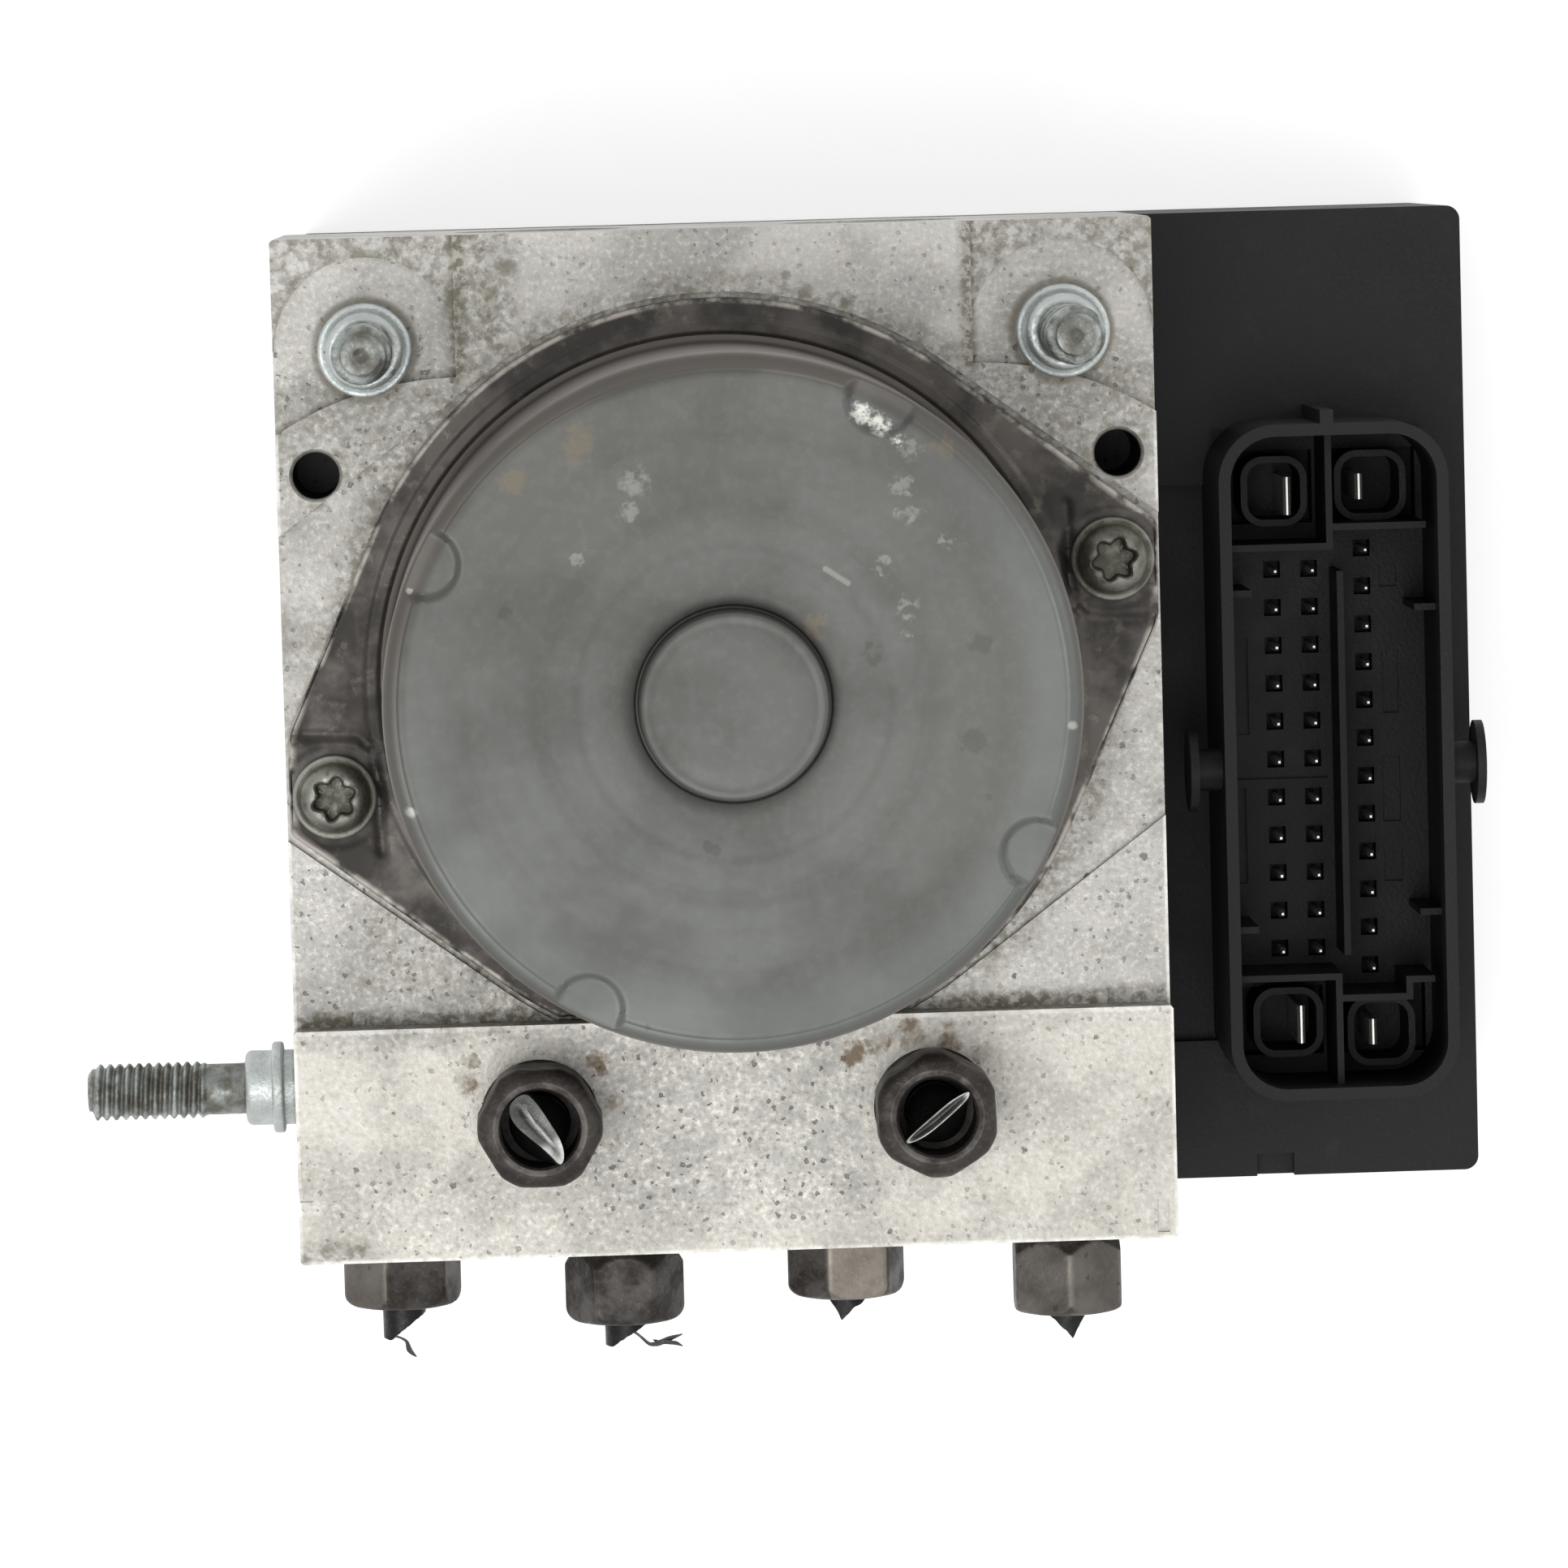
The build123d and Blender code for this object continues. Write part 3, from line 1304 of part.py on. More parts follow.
def tube_nut(seat, flats, corner, height, angle, thread, bore):
    """A bevelled hexagon on a round neck, over the threaded end that sits in the port."""
    with BuildPart() as nut:
        with BuildSketch(seat.offset(nut_neck_length)):
            RegularPolygon(flats / 2, 6, major_radius=False, rotation=angle)
            Circle(corner, mode=Mode.INTERSECT)
        extrude(amount=height - nut_neck_length)
        turn(seat, (nut_neck_radius, 0, nut_neck_length), (thread, -nut_thread_length, 0))
        length = height + nut_thread_length
        face_radius = (flats - nut_bevel) / 2
        with Locations(seat.offset(height)):
            Cone(
                face_radius + nut_bevel_slope * length,
                face_radius,
                length,
                align=(Align.CENTER, Align.CENTER, Align.MAX),
                mode=Mode.INTERSECT,
            )
        turn(seat, (bore, -nut_thread_length, height), mode=Mode.SUBTRACT)
    return nut.part


wheel_thread = port_radius - snug
wheel_bore = pipe_radius + pipe_gap
inlet_thread = inlet_port_radius - snug
inlet_bore = inlet_pipe_radius + pipe_gap
nuts = [
    tube_nut(seat, nut_across_flats, nut_corner_radius, height, angle, wheel_thread, wheel_bore)
    for seat, height, angle in zip(wheel_seats, wheel_nut_heights, wheel_nut_turns)
]
nuts += [
    tube_nut(seat, inlet_nut_flats, inlet_nut_corner, inlet_nut_height, angle, inlet_thread, inlet_bore)
    for seat, angle in zip(inlet_seats, inlet_nut_turns)
]
with BuildPart() as tube_nuts:
    add(nuts)
    mouth_floor = inlet_nut_height - nut_mouth_depth
    for seat in inlet_seats:
        turn(seat, (nut_mouth_radius, mouth_floor, inlet_nut_height), mode=Mode.SUBTRACT)
finish(tube_nuts.part, "tube_nuts")

# Pipe stubs: flared in the port, torn off past the wheel nuts and crushed shut over the inlet nuts
with BuildPart() as pipe_stubs:
    foot = flare_gap - port_depth
    side = pipe_radius + tear_margin
    for seat, height, (reach, tip, left, right) in zip(wheel_seats, wheel_nut_heights, wheel_stub_tears):
        end = height + reach
        turn(seat, (pipe_flare_radius, foot, foot + pipe_flare_length), (pipe_radius, foot, end))
        turn(seat, (pipe_radius - pipe_wall, foot, end), mode=Mode.SUBTRACT)
        tear = Plane(origin=(seat.origin.X, -block_bottom - end, port_z - side))
        with BuildSketch(tear):
            with BuildLine():
                Polyline(
                    (-side, left),
                    (tip, 0),
                    (side, right),
                    (side, -tear_margin),
                    (-side, -tear_margin),
                    close=True,
                )
            make_face()
        extrude(amount=2 * side, mode=Mode.SUBTRACT)
    foot = flare_gap - inlet_port_depth
    crush_start = mouth_floor + flare_gap
    for seat, angle in zip(inlet_seats, crush_angles):
        turn(
            seat,
            (inlet_flare_radius, foot, foot + pipe_flare_length),
            (inlet_pipe_radius, foot, crush_start),
        )
        turn(seat, (inlet_pipe_radius - pipe_wall, foot, crush_start - pipe_wall), mode=Mode.SUBTRACT)
        with BuildSketch(seat.offset(crush_start)):
            Circle(inlet_pipe_radius)
        with BuildSketch(seat.offset(inlet_nut_height + crush_rise)):
            RectangleRounded(crush_length, crush_thickness, crush_corner, rotation=angle)
        loft()
finish(pipe_stubs.part, "pipe_stubs")
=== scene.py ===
import json
import math

import bpy
import numpy as np
from mathutils import Matrix, Vector


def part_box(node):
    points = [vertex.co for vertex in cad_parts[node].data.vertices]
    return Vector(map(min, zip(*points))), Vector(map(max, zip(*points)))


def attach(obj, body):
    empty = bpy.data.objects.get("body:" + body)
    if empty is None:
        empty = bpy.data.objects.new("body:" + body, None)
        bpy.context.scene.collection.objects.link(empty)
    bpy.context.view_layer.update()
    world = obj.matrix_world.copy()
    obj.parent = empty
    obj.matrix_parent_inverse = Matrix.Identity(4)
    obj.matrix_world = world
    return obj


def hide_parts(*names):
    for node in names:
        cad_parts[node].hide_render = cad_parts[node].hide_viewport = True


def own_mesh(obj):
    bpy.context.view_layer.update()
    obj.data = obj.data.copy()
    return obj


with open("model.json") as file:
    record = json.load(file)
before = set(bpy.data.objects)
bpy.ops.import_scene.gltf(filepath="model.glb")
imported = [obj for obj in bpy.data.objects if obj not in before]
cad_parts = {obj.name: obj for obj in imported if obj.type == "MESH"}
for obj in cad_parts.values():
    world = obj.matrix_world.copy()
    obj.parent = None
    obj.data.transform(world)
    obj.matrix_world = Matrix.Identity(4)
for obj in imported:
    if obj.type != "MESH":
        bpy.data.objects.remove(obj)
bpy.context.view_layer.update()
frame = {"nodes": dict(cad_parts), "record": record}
parts = frame["nodes"]
slotOf = {part["node"]: part["material_slot"] for part in frame["record"]["subparts"]}
mm = 0.001
print("frame loaded")


# shader nodes, each added to the tree that its first socket belongs to

def addNode(tree, kind, inputs=None, **settings):
    # one node; each input is a plain value or another node's output socket
    node = tree.nodes.new(kind)
    for key, value in settings.items():
        setattr(node, key, value)
    for key, value in (inputs or {}).items():
        if isinstance(value, bpy.types.NodeSocket):
            tree.links.new(value, node.inputs[key])
        else:
            node.inputs[key].default_value = value
    return node


def mathNode(operation):
    def add(*values):
        tree = next(value.id_data for value in values if isinstance(value, bpy.types.NodeSocket))
        return addNode(tree, "ShaderNodeMath", dict(enumerate(values)), operation=operation).outputs[0]
    return add


def vectorNode(operation, result=0):
    def add(*values):
        tree, given = values[0].id_data, dict(enumerate(values))
        return addNode(tree, "ShaderNodeVectorMath", given, operation=operation).outputs[result]
    return add


plus, minus, times, dividedBy, timesPlus, larger, absolute, below = (mathNode(operation) for operation in (
    "ADD", "SUBTRACT", "MULTIPLY", "DIVIDE", "MULTIPLY_ADD", "MAXIMUM", "ABSOLUTE", "LESS_THAN",
))
stretched, shifted = vectorNode("MULTIPLY"), vectorNode("MULTIPLY_ADD")
distance, length = vectorNode("DISTANCE", "Value"), vectorNode("LENGTH", "Value")


def ramp(value, low, high, atLow=0.0, atHigh=1.0):
    # smooth change from atLow to atHigh as value goes from low to high
    return addNode(value.id_data, "ShaderNodeMapRange", {
        "Value": value, "From Min": low, "From Max": high, "To Min": atLow, "To Max": atHigh,
    }, interpolation_type="SMOOTHSTEP").outputs["Result"]


def close(value, middle, far, near):
    # 1 where value is within near of middle, 0 from far on
    return ramp(absolute(minus(value, middle)), far, near)


def tint(amount, base, tone):
    # base with a share of another colour laid over it
    inputs = {0: amount, 6: base, 7: tone}
    return addNode(amount.id_data, "ShaderNodeMix", inputs, data_type="RGBA").outputs[2]


def layered(base, look, listed):
    # tints laid over base in turn, each an amount and the name of its tone
    for amount, tone in listed:
        base = tint(amount, base, look[tone])
    return base


def strongest(listed):
    # the largest of several masks, each with its weight
    best = None
    for mask, weight in listed:
        one = times(mask, weight)
        best = one if best is None else larger(best, one)
    return best


def colour(red, green, blue):
    return (red, green, blue, 1.0)


def newGroup(name, inputs, outputs):
    tree = bpy.data.node_groups.new(name, "ShaderNodeTree")
    for label, kind, value in inputs:
        socket = tree.interface.new_socket(label, in_out="INPUT", socket_type=kind)
        if value is not None:
            socket.default_value = value
    for label in outputs:
        tree.interface.new_socket(label, in_out="OUTPUT", socket_type="NodeSocketFloat")
    return tree, tree.nodes.new("NodeGroupInput").outputs, tree.nodes.new("NodeGroupOutput").inputs


# surface effects that several finishes share

number, vector = "NodeSocketFloat", "NodeSocketVector"


def makePitGroup():
    # scattered small pits: cells of a voronoi pattern, a share of them dark near their middle
    tree, given, result = newGroup("scatteredPits", [
        ("Place", vector, None), ("Scale", number, 800.0), ("Share", number, 0.3), ("Size", number, 0.25),
    ], ["Mask"])
    wobble = addNode(tree, "ShaderNodeTexNoise", {"Vector": given["Place"], "Scale": 2600.0, "Detail": 1.0})
    uneven = shifted(wobble.outputs["Color"], (0.6 * mm,) * 3, given["Place"])
    cells = addNode(tree, "ShaderNodeTexVoronoi", {"Vector": uneven, "Scale": given["Scale"]})
    picked = addNode(tree, "ShaderNodeSeparateColor", {0: cells.outputs["Color"]}).outputs
    depth = minus(times(picked[1], given["Size"]), cells.outputs["Distance"])
    tree.links.new(times(ramp(depth, 0.0, 0.12), below(picked[0], given["Share"])), result["Mask"])
    return tree


def makeCloudGroup():
    # soft patches: layered noise cut between two levels
    tree, given, result = newGroup("cloudPatches", [
        ("Place", vector, None), ("Scale", number, 100.0), ("Low", number, 0.4), ("High", number, 0.6),
    ], ["Mask", "Value"])
    noise = addNode(tree, "ShaderNodeTexNoise", {
        "Vector": given["Place"], "Scale": given["Scale"], "Detail": 4.0, "Roughness": 0.62,
    }).outputs["Fac"]
    tree.links.new(ramp(noise, given["Low"], given["High"]), result["Mask"])
    tree.links.new(noise, result["Value"])
    return tree


def makeRingGroup():
    # a soft ring about the motor's axis: 1 at its radius, 0 past its width
    tree, given, result = newGroup("softRing", [
        ("Place", vector, None), ("Radius", number, 0.01), ("Width", number, 0.001),
    ], ["Mask", "Distance"])
    fromAxis = length(stretched(given["Place"], (1.0, 1.0, 0.0)))
    share = dividedBy(absolute(minus(fromAxis, given["Radius"])), given["Width"])
    tree.links.new(ramp(share, 1.0, 0.0), result["Mask"])
    tree.links.new(fromAxis, result["Distance"])
    return tree


def makeGrainGroup():
    # fine marks drawn out along one direction, which Stretch chooses
    tree, given, result = newGroup("drawnGrain", [
        ("Place", vector, None), ("Stretch", vector, (1.0, 1.0, 1.0)), ("Scale", number, 500.0),
    ], ["Value"])
    noise = addNode(tree, "ShaderNodeTexNoise", {
        "Vector": stretched(given["Place"], given["Stretch"]), "Scale": given["Scale"], "Detail": 4.0,
        "Roughness": 0.6,
    })
    tree.links.new(noise.outputs["Fac"], result["Value"])
    return tree


pitGroup = makePitGroup()
cloudGroup = makeCloudGroup()
ringGroup = makeRingGroup()
grainGroup = makeGrainGroup()


def useGroup(group, place, **inputs):
    return addNode(place.id_data, "ShaderNodeGroup", {"Place": place, **inputs}, node_tree=group).outputs


def pitMask(place, scale, share, size):
    return useGroup(pitGroup, place, Scale=scale, Share=share, Size=size)["Mask"]


def clouds(place, scale, low, high):
    return useGroup(cloudGroup, place, Scale=scale, Low=low, High=high)


def cloudMask(place, scale, low, high):
    return clouds(place, scale, low, high)["Mask"]


def ringMask(place, radius, width):
    # both in millimetres
    return useGroup(ringGroup, place, Radius=radius * mm, Width=width * mm)["Mask"]


def grain(place, stretch, scale):
    return useGroup(grainGroup, place, Stretch=stretch, Scale=scale)["Value"]


def spots(place, ragged, listed):
    # the strongest of several soft round spots seen along Z, each (x, y, radius) in millimetres;
    # one noise breaks up all their edges
    flat = stretched(place, (1.0, 1.0, 0.0))
    noise = addNode(place.id_data, "ShaderNodeTexNoise", {
        "Vector": place, "Scale": 750.0, "Detail": 3.0, "Roughness": 0.65,
    })
    swing = timesPlus(noise.outputs["Fac"], 4 * ragged * mm, -2 * ragged * mm)
    mask = None
    for x, y, radius in listed:
        away = plus(distance(flat, (x * mm, y * mm, 0.0)), swing)
        one = ramp(away, radius * mm, radius * 0.4 * mm)
        mask = one if mask is None else larger(mask, one)
    return mask


def zones(x, y, listed):
    # masks of boxes, each (left, right, low, high, soft edge, weight) in millimetres; 1 inside, soft outside
    masks = []
    for left, right, low, high, soft, weight in listed:
        inX = times(ramp(x, (left - soft) * mm, left * mm), ramp(x, (right + soft) * mm, right * mm))
        inY = times(ramp(y, (low - soft) * mm, low * mm), ramp(y, (high + soft) * mm, high * mm))
        masks.append((times(inX, inY), weight))
    return masks


def newMaterial(name):
    material = bpy.data.materials.new(name)
    material.use_nodes = True
    tree = material.node_tree
    tree.nodes.clear()
    finish = tree.nodes.new("ShaderNodeOutputMaterial")
    shader = tree.nodes.new("ShaderNodeBsdfPrincipled")
    tree.links.new(shader.outputs[0], finish.inputs["Surface"])
    place = tree.nodes.new("ShaderNodeTexCoord").outputs["Object"]
    return material, shader, place


def axes(place):
    return addNode(place.id_data, "ShaderNodeSeparateXYZ", {0: place}).outputs


def setFinish(shader, base, metallic, roughness, height, depth, strength):
    # depth is the bump's, in millimetres
    tree = shader.id_data
    for key, value in (("Base Color", base), ("Metallic", metallic), ("Roughness", roughness)):
        if isinstance(value, bpy.types.NodeSocket):
            tree.links.new(value, shader.inputs[key])
        else:
            shader.inputs[key].default_value = value
    bump = addNode(tree, "ShaderNodeBump", {"Height": height, "Distance": depth * mm, "Strength": strength})
    tree.links.new(bump.outputs[0], shader.inputs["Normal"])


# finishes; zones are (left, right, low, high, soft edge, weight) and spots (x, y, radius), in millimetres

blockLook = {
    "ledge": colour(0.525, 0.508, 0.462), "face": colour(0.485, 0.475, 0.447),
    "dull": colour(0.30, 0.295, 0.275), "pit": colour(0.07, 0.063, 0.05),
    # grime; the same tone also gives the painted shade along the pocket steps and under the ledge
    "grimeAndShade": colour(0.15, 0.135, 0.095), "rust": colour(0.145, 0.105, 0.062),
    # the last tone here is painted shade for the insides of the blind holes
    "bright": colour(0.80, 0.79, 0.75), "holeShade": colour(0.006, 0.005, 0.005),
    "warm": colour(0.50, 0.44, 0.36),
    "etched": (
        (-14.0, 10.0, -52.0, -34.0, 7.0, 1.0), (-41.0, -10.0, -57.5, -50.5, 4.0, 0.5),
        (-44.0, -20.0, -34.0, -19.0, 4.0, 0.7), (30.0, 44.0, -34.0, 4.0, 3.0, 0.4),
    ),
    "etchedBothSides": ((26.0, 44.0, 20.5, 31.5, 1.5, 0.75),),
    "dirty": (
        (-25.6, -21.0, 30.0, 46.0, 2.5, 0.85), (-44.5, -39.0, 3.0, 7.5, 2.5, 0.45),
        (-36.0, -22.0, -34.0, -24.0, 4.0, 0.55), (-44.5, -38.0, -58.1, -56.6, 1.5, 0.8),
    ),
    "dirtyBothSides": ((27.0, 44.0, 21.5, 29.5, 2.0, 0.60),),
    "nutStains": (
        (-27.2, -39.9, 1.8), (-26.9, -37.9, 1.1), (11.9, -38.3, 1.5), (14.6, -37.2, 1.7), (17.9, -36.5, 2.0),
        (21.6, -37.0, 1.8), (25.0, -38.6, 1.4), (-13.9, -38.5, 1.4), (-12.6, -42.4, 1.0),
    ),
    "marks": ((9.4, 38.7, 1.0), (7.4, 40.4, 0.7), (13.2, 37.3, 0.8), (-20.6, 41.8, 1.3), (-22.4, 39.3, 1.0)),
    "stud": (0.0352, 0.0340, 0.0), "blindHole": (0.0405, 0.0215, 0.0),
}


def makeBlockMaterial():
    # milled aluminium gone dull: the ledge paler and warmer, specks and bright flecks that crowd where it is
    # etched, greenish dirt in the stud pockets and round the motor seat, brown stains at the inlet nuts,
    # painted highlights along the edges, painted shade along the pocket steps and in the blind holes, and
    # dirt with painted shade under the ledge
    look = blockLook
    material, shader, place = newMaterial("blockAluminium")
    x, y, z = axes(place)
    side = absolute(x)
    onLedge = ramp(z, 0.0832, 0.0838)
    onFace = times(ramp(z, 0.0802, 0.0800), ramp(z, 0.0780, 0.0782))
    nearFace = ramp(z, 0.0740, 0.0778)  # etching and dirt end a few millimetres down the sides
    big = clouds(place, 75.0, 0.40, 0.62)
    mottle = clouds(place, 480.0, 0.42, 0.60)
    fine = clouds(place, 1700.0, 0.50, 0.66)
    speck = cloudMask(place, 1050.0, 0.44, 0.58)
    etchedZones = strongest(zones(x, y, look["etched"]) + zones(side, y, look["etchedBothSides"]))
    etched = strongest([(times(etchedZones, nearFace), 1.0), (big["Mask"], 0.35)])
    small, large = pitMask(place, 1250.0, 0.50, 0.38), pitMask(place, 520.0, 0.24, 0.24)
    pits = larger(times(small, timesPlus(etched, 0.6, 0.4)), large)
    # dirt on the pocket floors, beside the pockets, along the seat and at the lower corners, and dirt with
    # painted shade under the ledge
    pocketFloor = times(ramp(z, 0.0791, 0.0789), ramp(z, 0.0785, 0.0787))
    # painted shade: a dark line along the pocket steps
    pocketEdgeShade = times(close(side, 0.0257, 0.0013, 0.0002), ramp(y, 0.0300, 0.0312))
    # dirt with painted shade under the ledge step
    underLedgeShadeAndDirt = times(close(y, -0.0341, 0.0021, 0.0003), ramp(z, 0.0840, 0.0832))
    dirtAndShade = strongest([
        (times(ringMask(place, 38.6, 4.0), onFace), 0.85), (pocketFloor, 0.80), (underLedgeShadeAndDirt, 1.25),
    ] + zones(x, y, look["dirty"]) + zones(side, y, look["dirtyBothSides"]))
    broken = timesPlus(speck, 0.55, ramp(mottle["Value"], 0.40, 0.62, 0.05, 0.50))
    dirtAndShadeLook = times(times(dirtAndShade, nearFace), broken)
    nutStains = spots(place, 0.9, look["nutStains"])
    # rings of dirt round the stud rings, and painted shade inside the blind holes
    mirrored = addNode(place.id_data, "ShaderNodeCombineXYZ", {0: side, 1: y, 2: 0.0}).outputs[0]
    studDirt = close(distance(mirrored, look["stud"]), 0.0050, 0.0007, 0.0001)
    fromHole = distance(mirrored, look["blindHole"])
    holeDirt = times(close(fromHole, 0.0031, 0.0006, 0.0001), 0.5)
    # painted shade, near black, inside the blind holes
    shadeInHole = times(ramp(fromHole, 0.00255, 0.00245), ramp(z, 0.0800, 0.0795))
    # painted highlights: bright lines along the side edges of the face and the front and back edges of the
    # ledge
    highlightAndWear = strongest([
        (times(ramp(side, 0.04405, 0.04435), ramp(z, 0.0795, 0.0799)), 0.75),
        (times(ramp(y, -0.0576, -0.0580), onLedge), 0.8),
        (times(close(y, -0.0346, 0.0004, 0.0001), onLedge), 0.5),
    ])
    base = layered(tint(onLedge, look["face"], look["ledge"]), look, [
        (times(big["Mask"], timesPlus(onLedge, -0.22, 0.42)), "dull"),
        (times(mottle["Mask"], timesPlus(onLedge, 0.02, 0.16)), "warm"),
        (times(fine["Mask"], timesPlus(etched, 0.50, 0.26)), "bright"),
        (times(ramp(fine["Value"], 0.46, 0.34), timesPlus(etched, 0.65, 0.35)), "dull"),
        (times(etched, ramp(mottle["Value"], 0.38, 0.56, 0.62, 0.18)), "dull"),
        (times(pits, 0.70), "pit"),
        (times(dirtAndShadeLook, 0.88), "grimeAndShade"),
        (times(times(pocketEdgeShade, nearFace), timesPlus(speck, 0.6, 0.35)), "grimeAndShade"),
        (times(nutStains, ramp(mottle["Value"], 0.38, 0.58, 0.30, 0.92)), "rust"),
        (times(spots(place, 0.5, look["marks"]), 0.6), "grimeAndShade"),
        (times(studDirt, times(onFace, 0.65)), "grimeAndShade"),
        (times(holeDirt, mottle["Mask"]), "grimeAndShade"),
        (shadeInHole, "holeShade"),
        (times(highlightAndWear, ramp(mottle["Value"], 0.62, 0.40, 0.35, 1.0)), "bright"),
    ])
    metallic = timesPlus(dirtAndShadeLook, -0.35, 0.42)
    rough = timesPlus(big["Mask"], 0.12, 0.44)
    setFinish(shader, base, metallic, rough, minus(times(fine["Value"], 0.8), pits), 0.1, 0.7)
    return material


canLook = {
    "face": colour(0.122, 0.126, 0.118), "shade": colour(0.084, 0.084, 0.076),
    "halo": colour(0.052, 0.050, 0.044), "rim": colour(0.165, 0.176, 0.168),
    "brown": colour(0.098, 0.086, 0.074), "side": colour(0.112, 0.100, 0.089),
    "worn": colour(0.60, 0.60, 0.55), "rust": colour(0.19, 0.145, 0.085),
    # the last tone is painted shade with dirt, for the groove round the boss
    "dirtAndShade": colour(0.022, 0.019, 0.017),
    # turned rings: radius, width in millimetres and weight
    "rings": ((18.3, 0.3, 0.22), (19.0, 2.2, 0.18), (15.2, 0.9, 0.20), (26.2, 1.2, 0.10), (7.9, 0.5, 0.28)),
    "chips": ((13.0, 27.6, 1.2), (14.7, 26.6, 1.3), (16.6, 25.4, 0.9)),
    "faintChips": (
        (16.6, 20.6, 1.5), (17.2, 18.0, 1.1), (21.2, 15.0, 0.9), (17.1, 8.7, 1.2), (17.0, 6.7, 0.8),
        (-8.6, 21.6, 1.7), (17.6, 24.2, 1.4), (14.9, 12.8, 0.9), (-9.6, 18.9, 1.1), (-14.9, 14.6, 0.8),
    ),
    "scratch": [(9.2 + 0.3 * step, 12.75 - 0.2 * step, 0.38) for step in range(8)],
    "nicked": ((-31.4, -9.5, 0.7), (32.6, -3.0, 0.6), (-30.9, 11.8, 0.4)),
    "rusty": ((20.4, 24.2, 1.4), (-14.0, 25.4, 2.0), (-20.5, 22.0, 1.6), (8.0, 7.5, 1.3)),
    "smudges": (
        (13.2, 3.9, 0.9), (13.4, 5.4, 0.6), (23.0, -4.0, 1.5), (-2.4, -13.7, 0.8), (-21.6, 9.6, 0.9),
        (24.0, 5.0, 1.4),
    ),
}


def makeCanMaterial():
    # drawn steel with a dull grey coat: painted shade in a soft halo round the boss, dirt with painted shade
    # in its groove, painted shade in the rim's crease and over the far and right sides of the face, a painted
    # highlight along the near side of the rim, a few faint turned rings, scuffs and chips, a brown tint at
    # the far side of the rim, and a darker side wall
    look = canLook
    material, shader, place = newMaterial("motorCanSteel")
    x, y, z = axes(place)
    fromAxis = useGroup(ringGroup, place)["Distance"]
    # the far side: it gets painted shade over the face, in the halo and in the crease, and the brown tint on
    # its rim
    farSide = ramp(timesPlus(x, -0.55, y), -0.010, 0.034)
    onFace = ramp(fromAxis, 0.0325, 0.0300)
    onTop = ramp(z, 0.1176, 0.1184)
    patches = clouds(place, 60.0, 0.40, 0.66)
    fine = clouds(place, 900.0, 0.46, 0.66)
    turned = addNode(place.id_data, "ShaderNodeTexNoise", {
        "W": times(fromAxis, 700.0), "Scale": 1.0, "Detail": 2.0,
    }, noise_dimensions="1D").outputs["Fac"]
    streaks = grain(place, (1.0, 0.16, 1.0), 900.0)
    # painted highlight along the near side of the rim
    nearRimHighlight = times(ramp(fromAxis, 0.0268, 0.0305), minus(1.0, farSide))
    rings = strongest([(ringMask(place, radius, width), weight) for radius, width, weight in look["rings"]])
    # painted shade in a soft halo round the foot of the boss, heavier on the far side
    halo = times(ramp(fromAxis, 0.0150, 0.0092), ramp(fromAxis, 0.0088, 0.0092))
    # the rim: brown on the far side, with painted shade in the crease inside it there
    rim = times(ramp(fromAxis, 0.0319, 0.0325), farSide)
    rimEdge = ramp(fromAxis, 0.0331, 0.0336, 0.0, 0.85)
    crease = times(ringMask(place, 32.1, 0.9), ramp(farSide, 0.0, 1.0, 0.03, 0.80))
    # painted shade with dirt in the groove round the boss
    groove = times(ringMask(place, 9.30, 0.28), ramp(z, 0.1215, 0.1190))
    chips = ramp(fine["Value"], 0.38, 0.56)
    wear = times(strongest([
        (spots(place, 0.8, look["chips"]), times(chips, 0.95)),
        (spots(place, 1.1, look["faintChips"]), times(chips, 0.17)),
        (spots(place, 0.2, look["nicked"]), 0.5), (spots(place, 0.05, look["scratch"]), 0.20),
    ]), onTop)
    dark = strongest([
        (spots(place, 1.0, look["smudges"]), 0.45), (pitMask(place, 330.0, 0.12, 0.18), 0.40),
    ])
    base = layered(tint(times(patches["Mask"], 0.5), look["face"], look["shade"]), look, [
        # painted shade over the far side and the right side of the face
        (times(farSide, 0.75), "shade"),
        # painted shade at the foot of the boss
        (ramp(fromAxis, 0.0097, 0.0088, 0.0, 0.30), "halo"),
        (ramp(x, 0.004, 0.026, 0.0, 0.70), "shade"),
        (times(ramp(turned, 0.45, 0.75), times(onFace, 0.16)), "shade"),
        (times(nearRimHighlight, 0.40), "rim"),
        (rings, "halo"),
        (times(halo, timesPlus(farSide, 0.25, 0.55)), "halo"),
        (times(ramp(streaks, 0.56, 0.80), 0.18), "shade"),
        (times(fine["Mask"], 0.14), "rim"),
        (larger(times(rim, 0.8), rimEdge), "brown"),
        (times(crease, ramp(patches["Value"], 0.35, 0.55, 0.4, 1.0)), "halo"),
        (times(ramp(z, 0.1186, 0.1166), 0.85), "side"),
        (groove, "dirtAndShade"),
        (wear, "worn"),
        (times(spots(place, 1.2, look["rusty"]), times(onTop, 0.35)), "rust"),
        (dark, "halo"),
    ])
    rough = timesPlus(patches["Mask"], 0.12, 0.42)
    setFinish(shader, base, 0.45, rough, timesPlus(turned, 0.4, times(wear, -0.5)), 0.03, 0.5)
    return material


flangeLook = {
    "steel": colour(0.080, 0.072, 0.064), "dark": colour(0.034, 0.030, 0.027),
    "edge": colour(0.42, 0.39, 0.35), "dust": colour(0.16, 0.145, 0.12),
}


def wearAndPaintedLightOf(place):
    # the piece's own value at each point: above 0 lighter, for wear and painted highlights, below 0 darker,
    # for dirt and painted shade
    return addNode(place.id_data, "ShaderNodeAttribute", attribute_name="wearAndPaintedLight").outputs["Fac"]


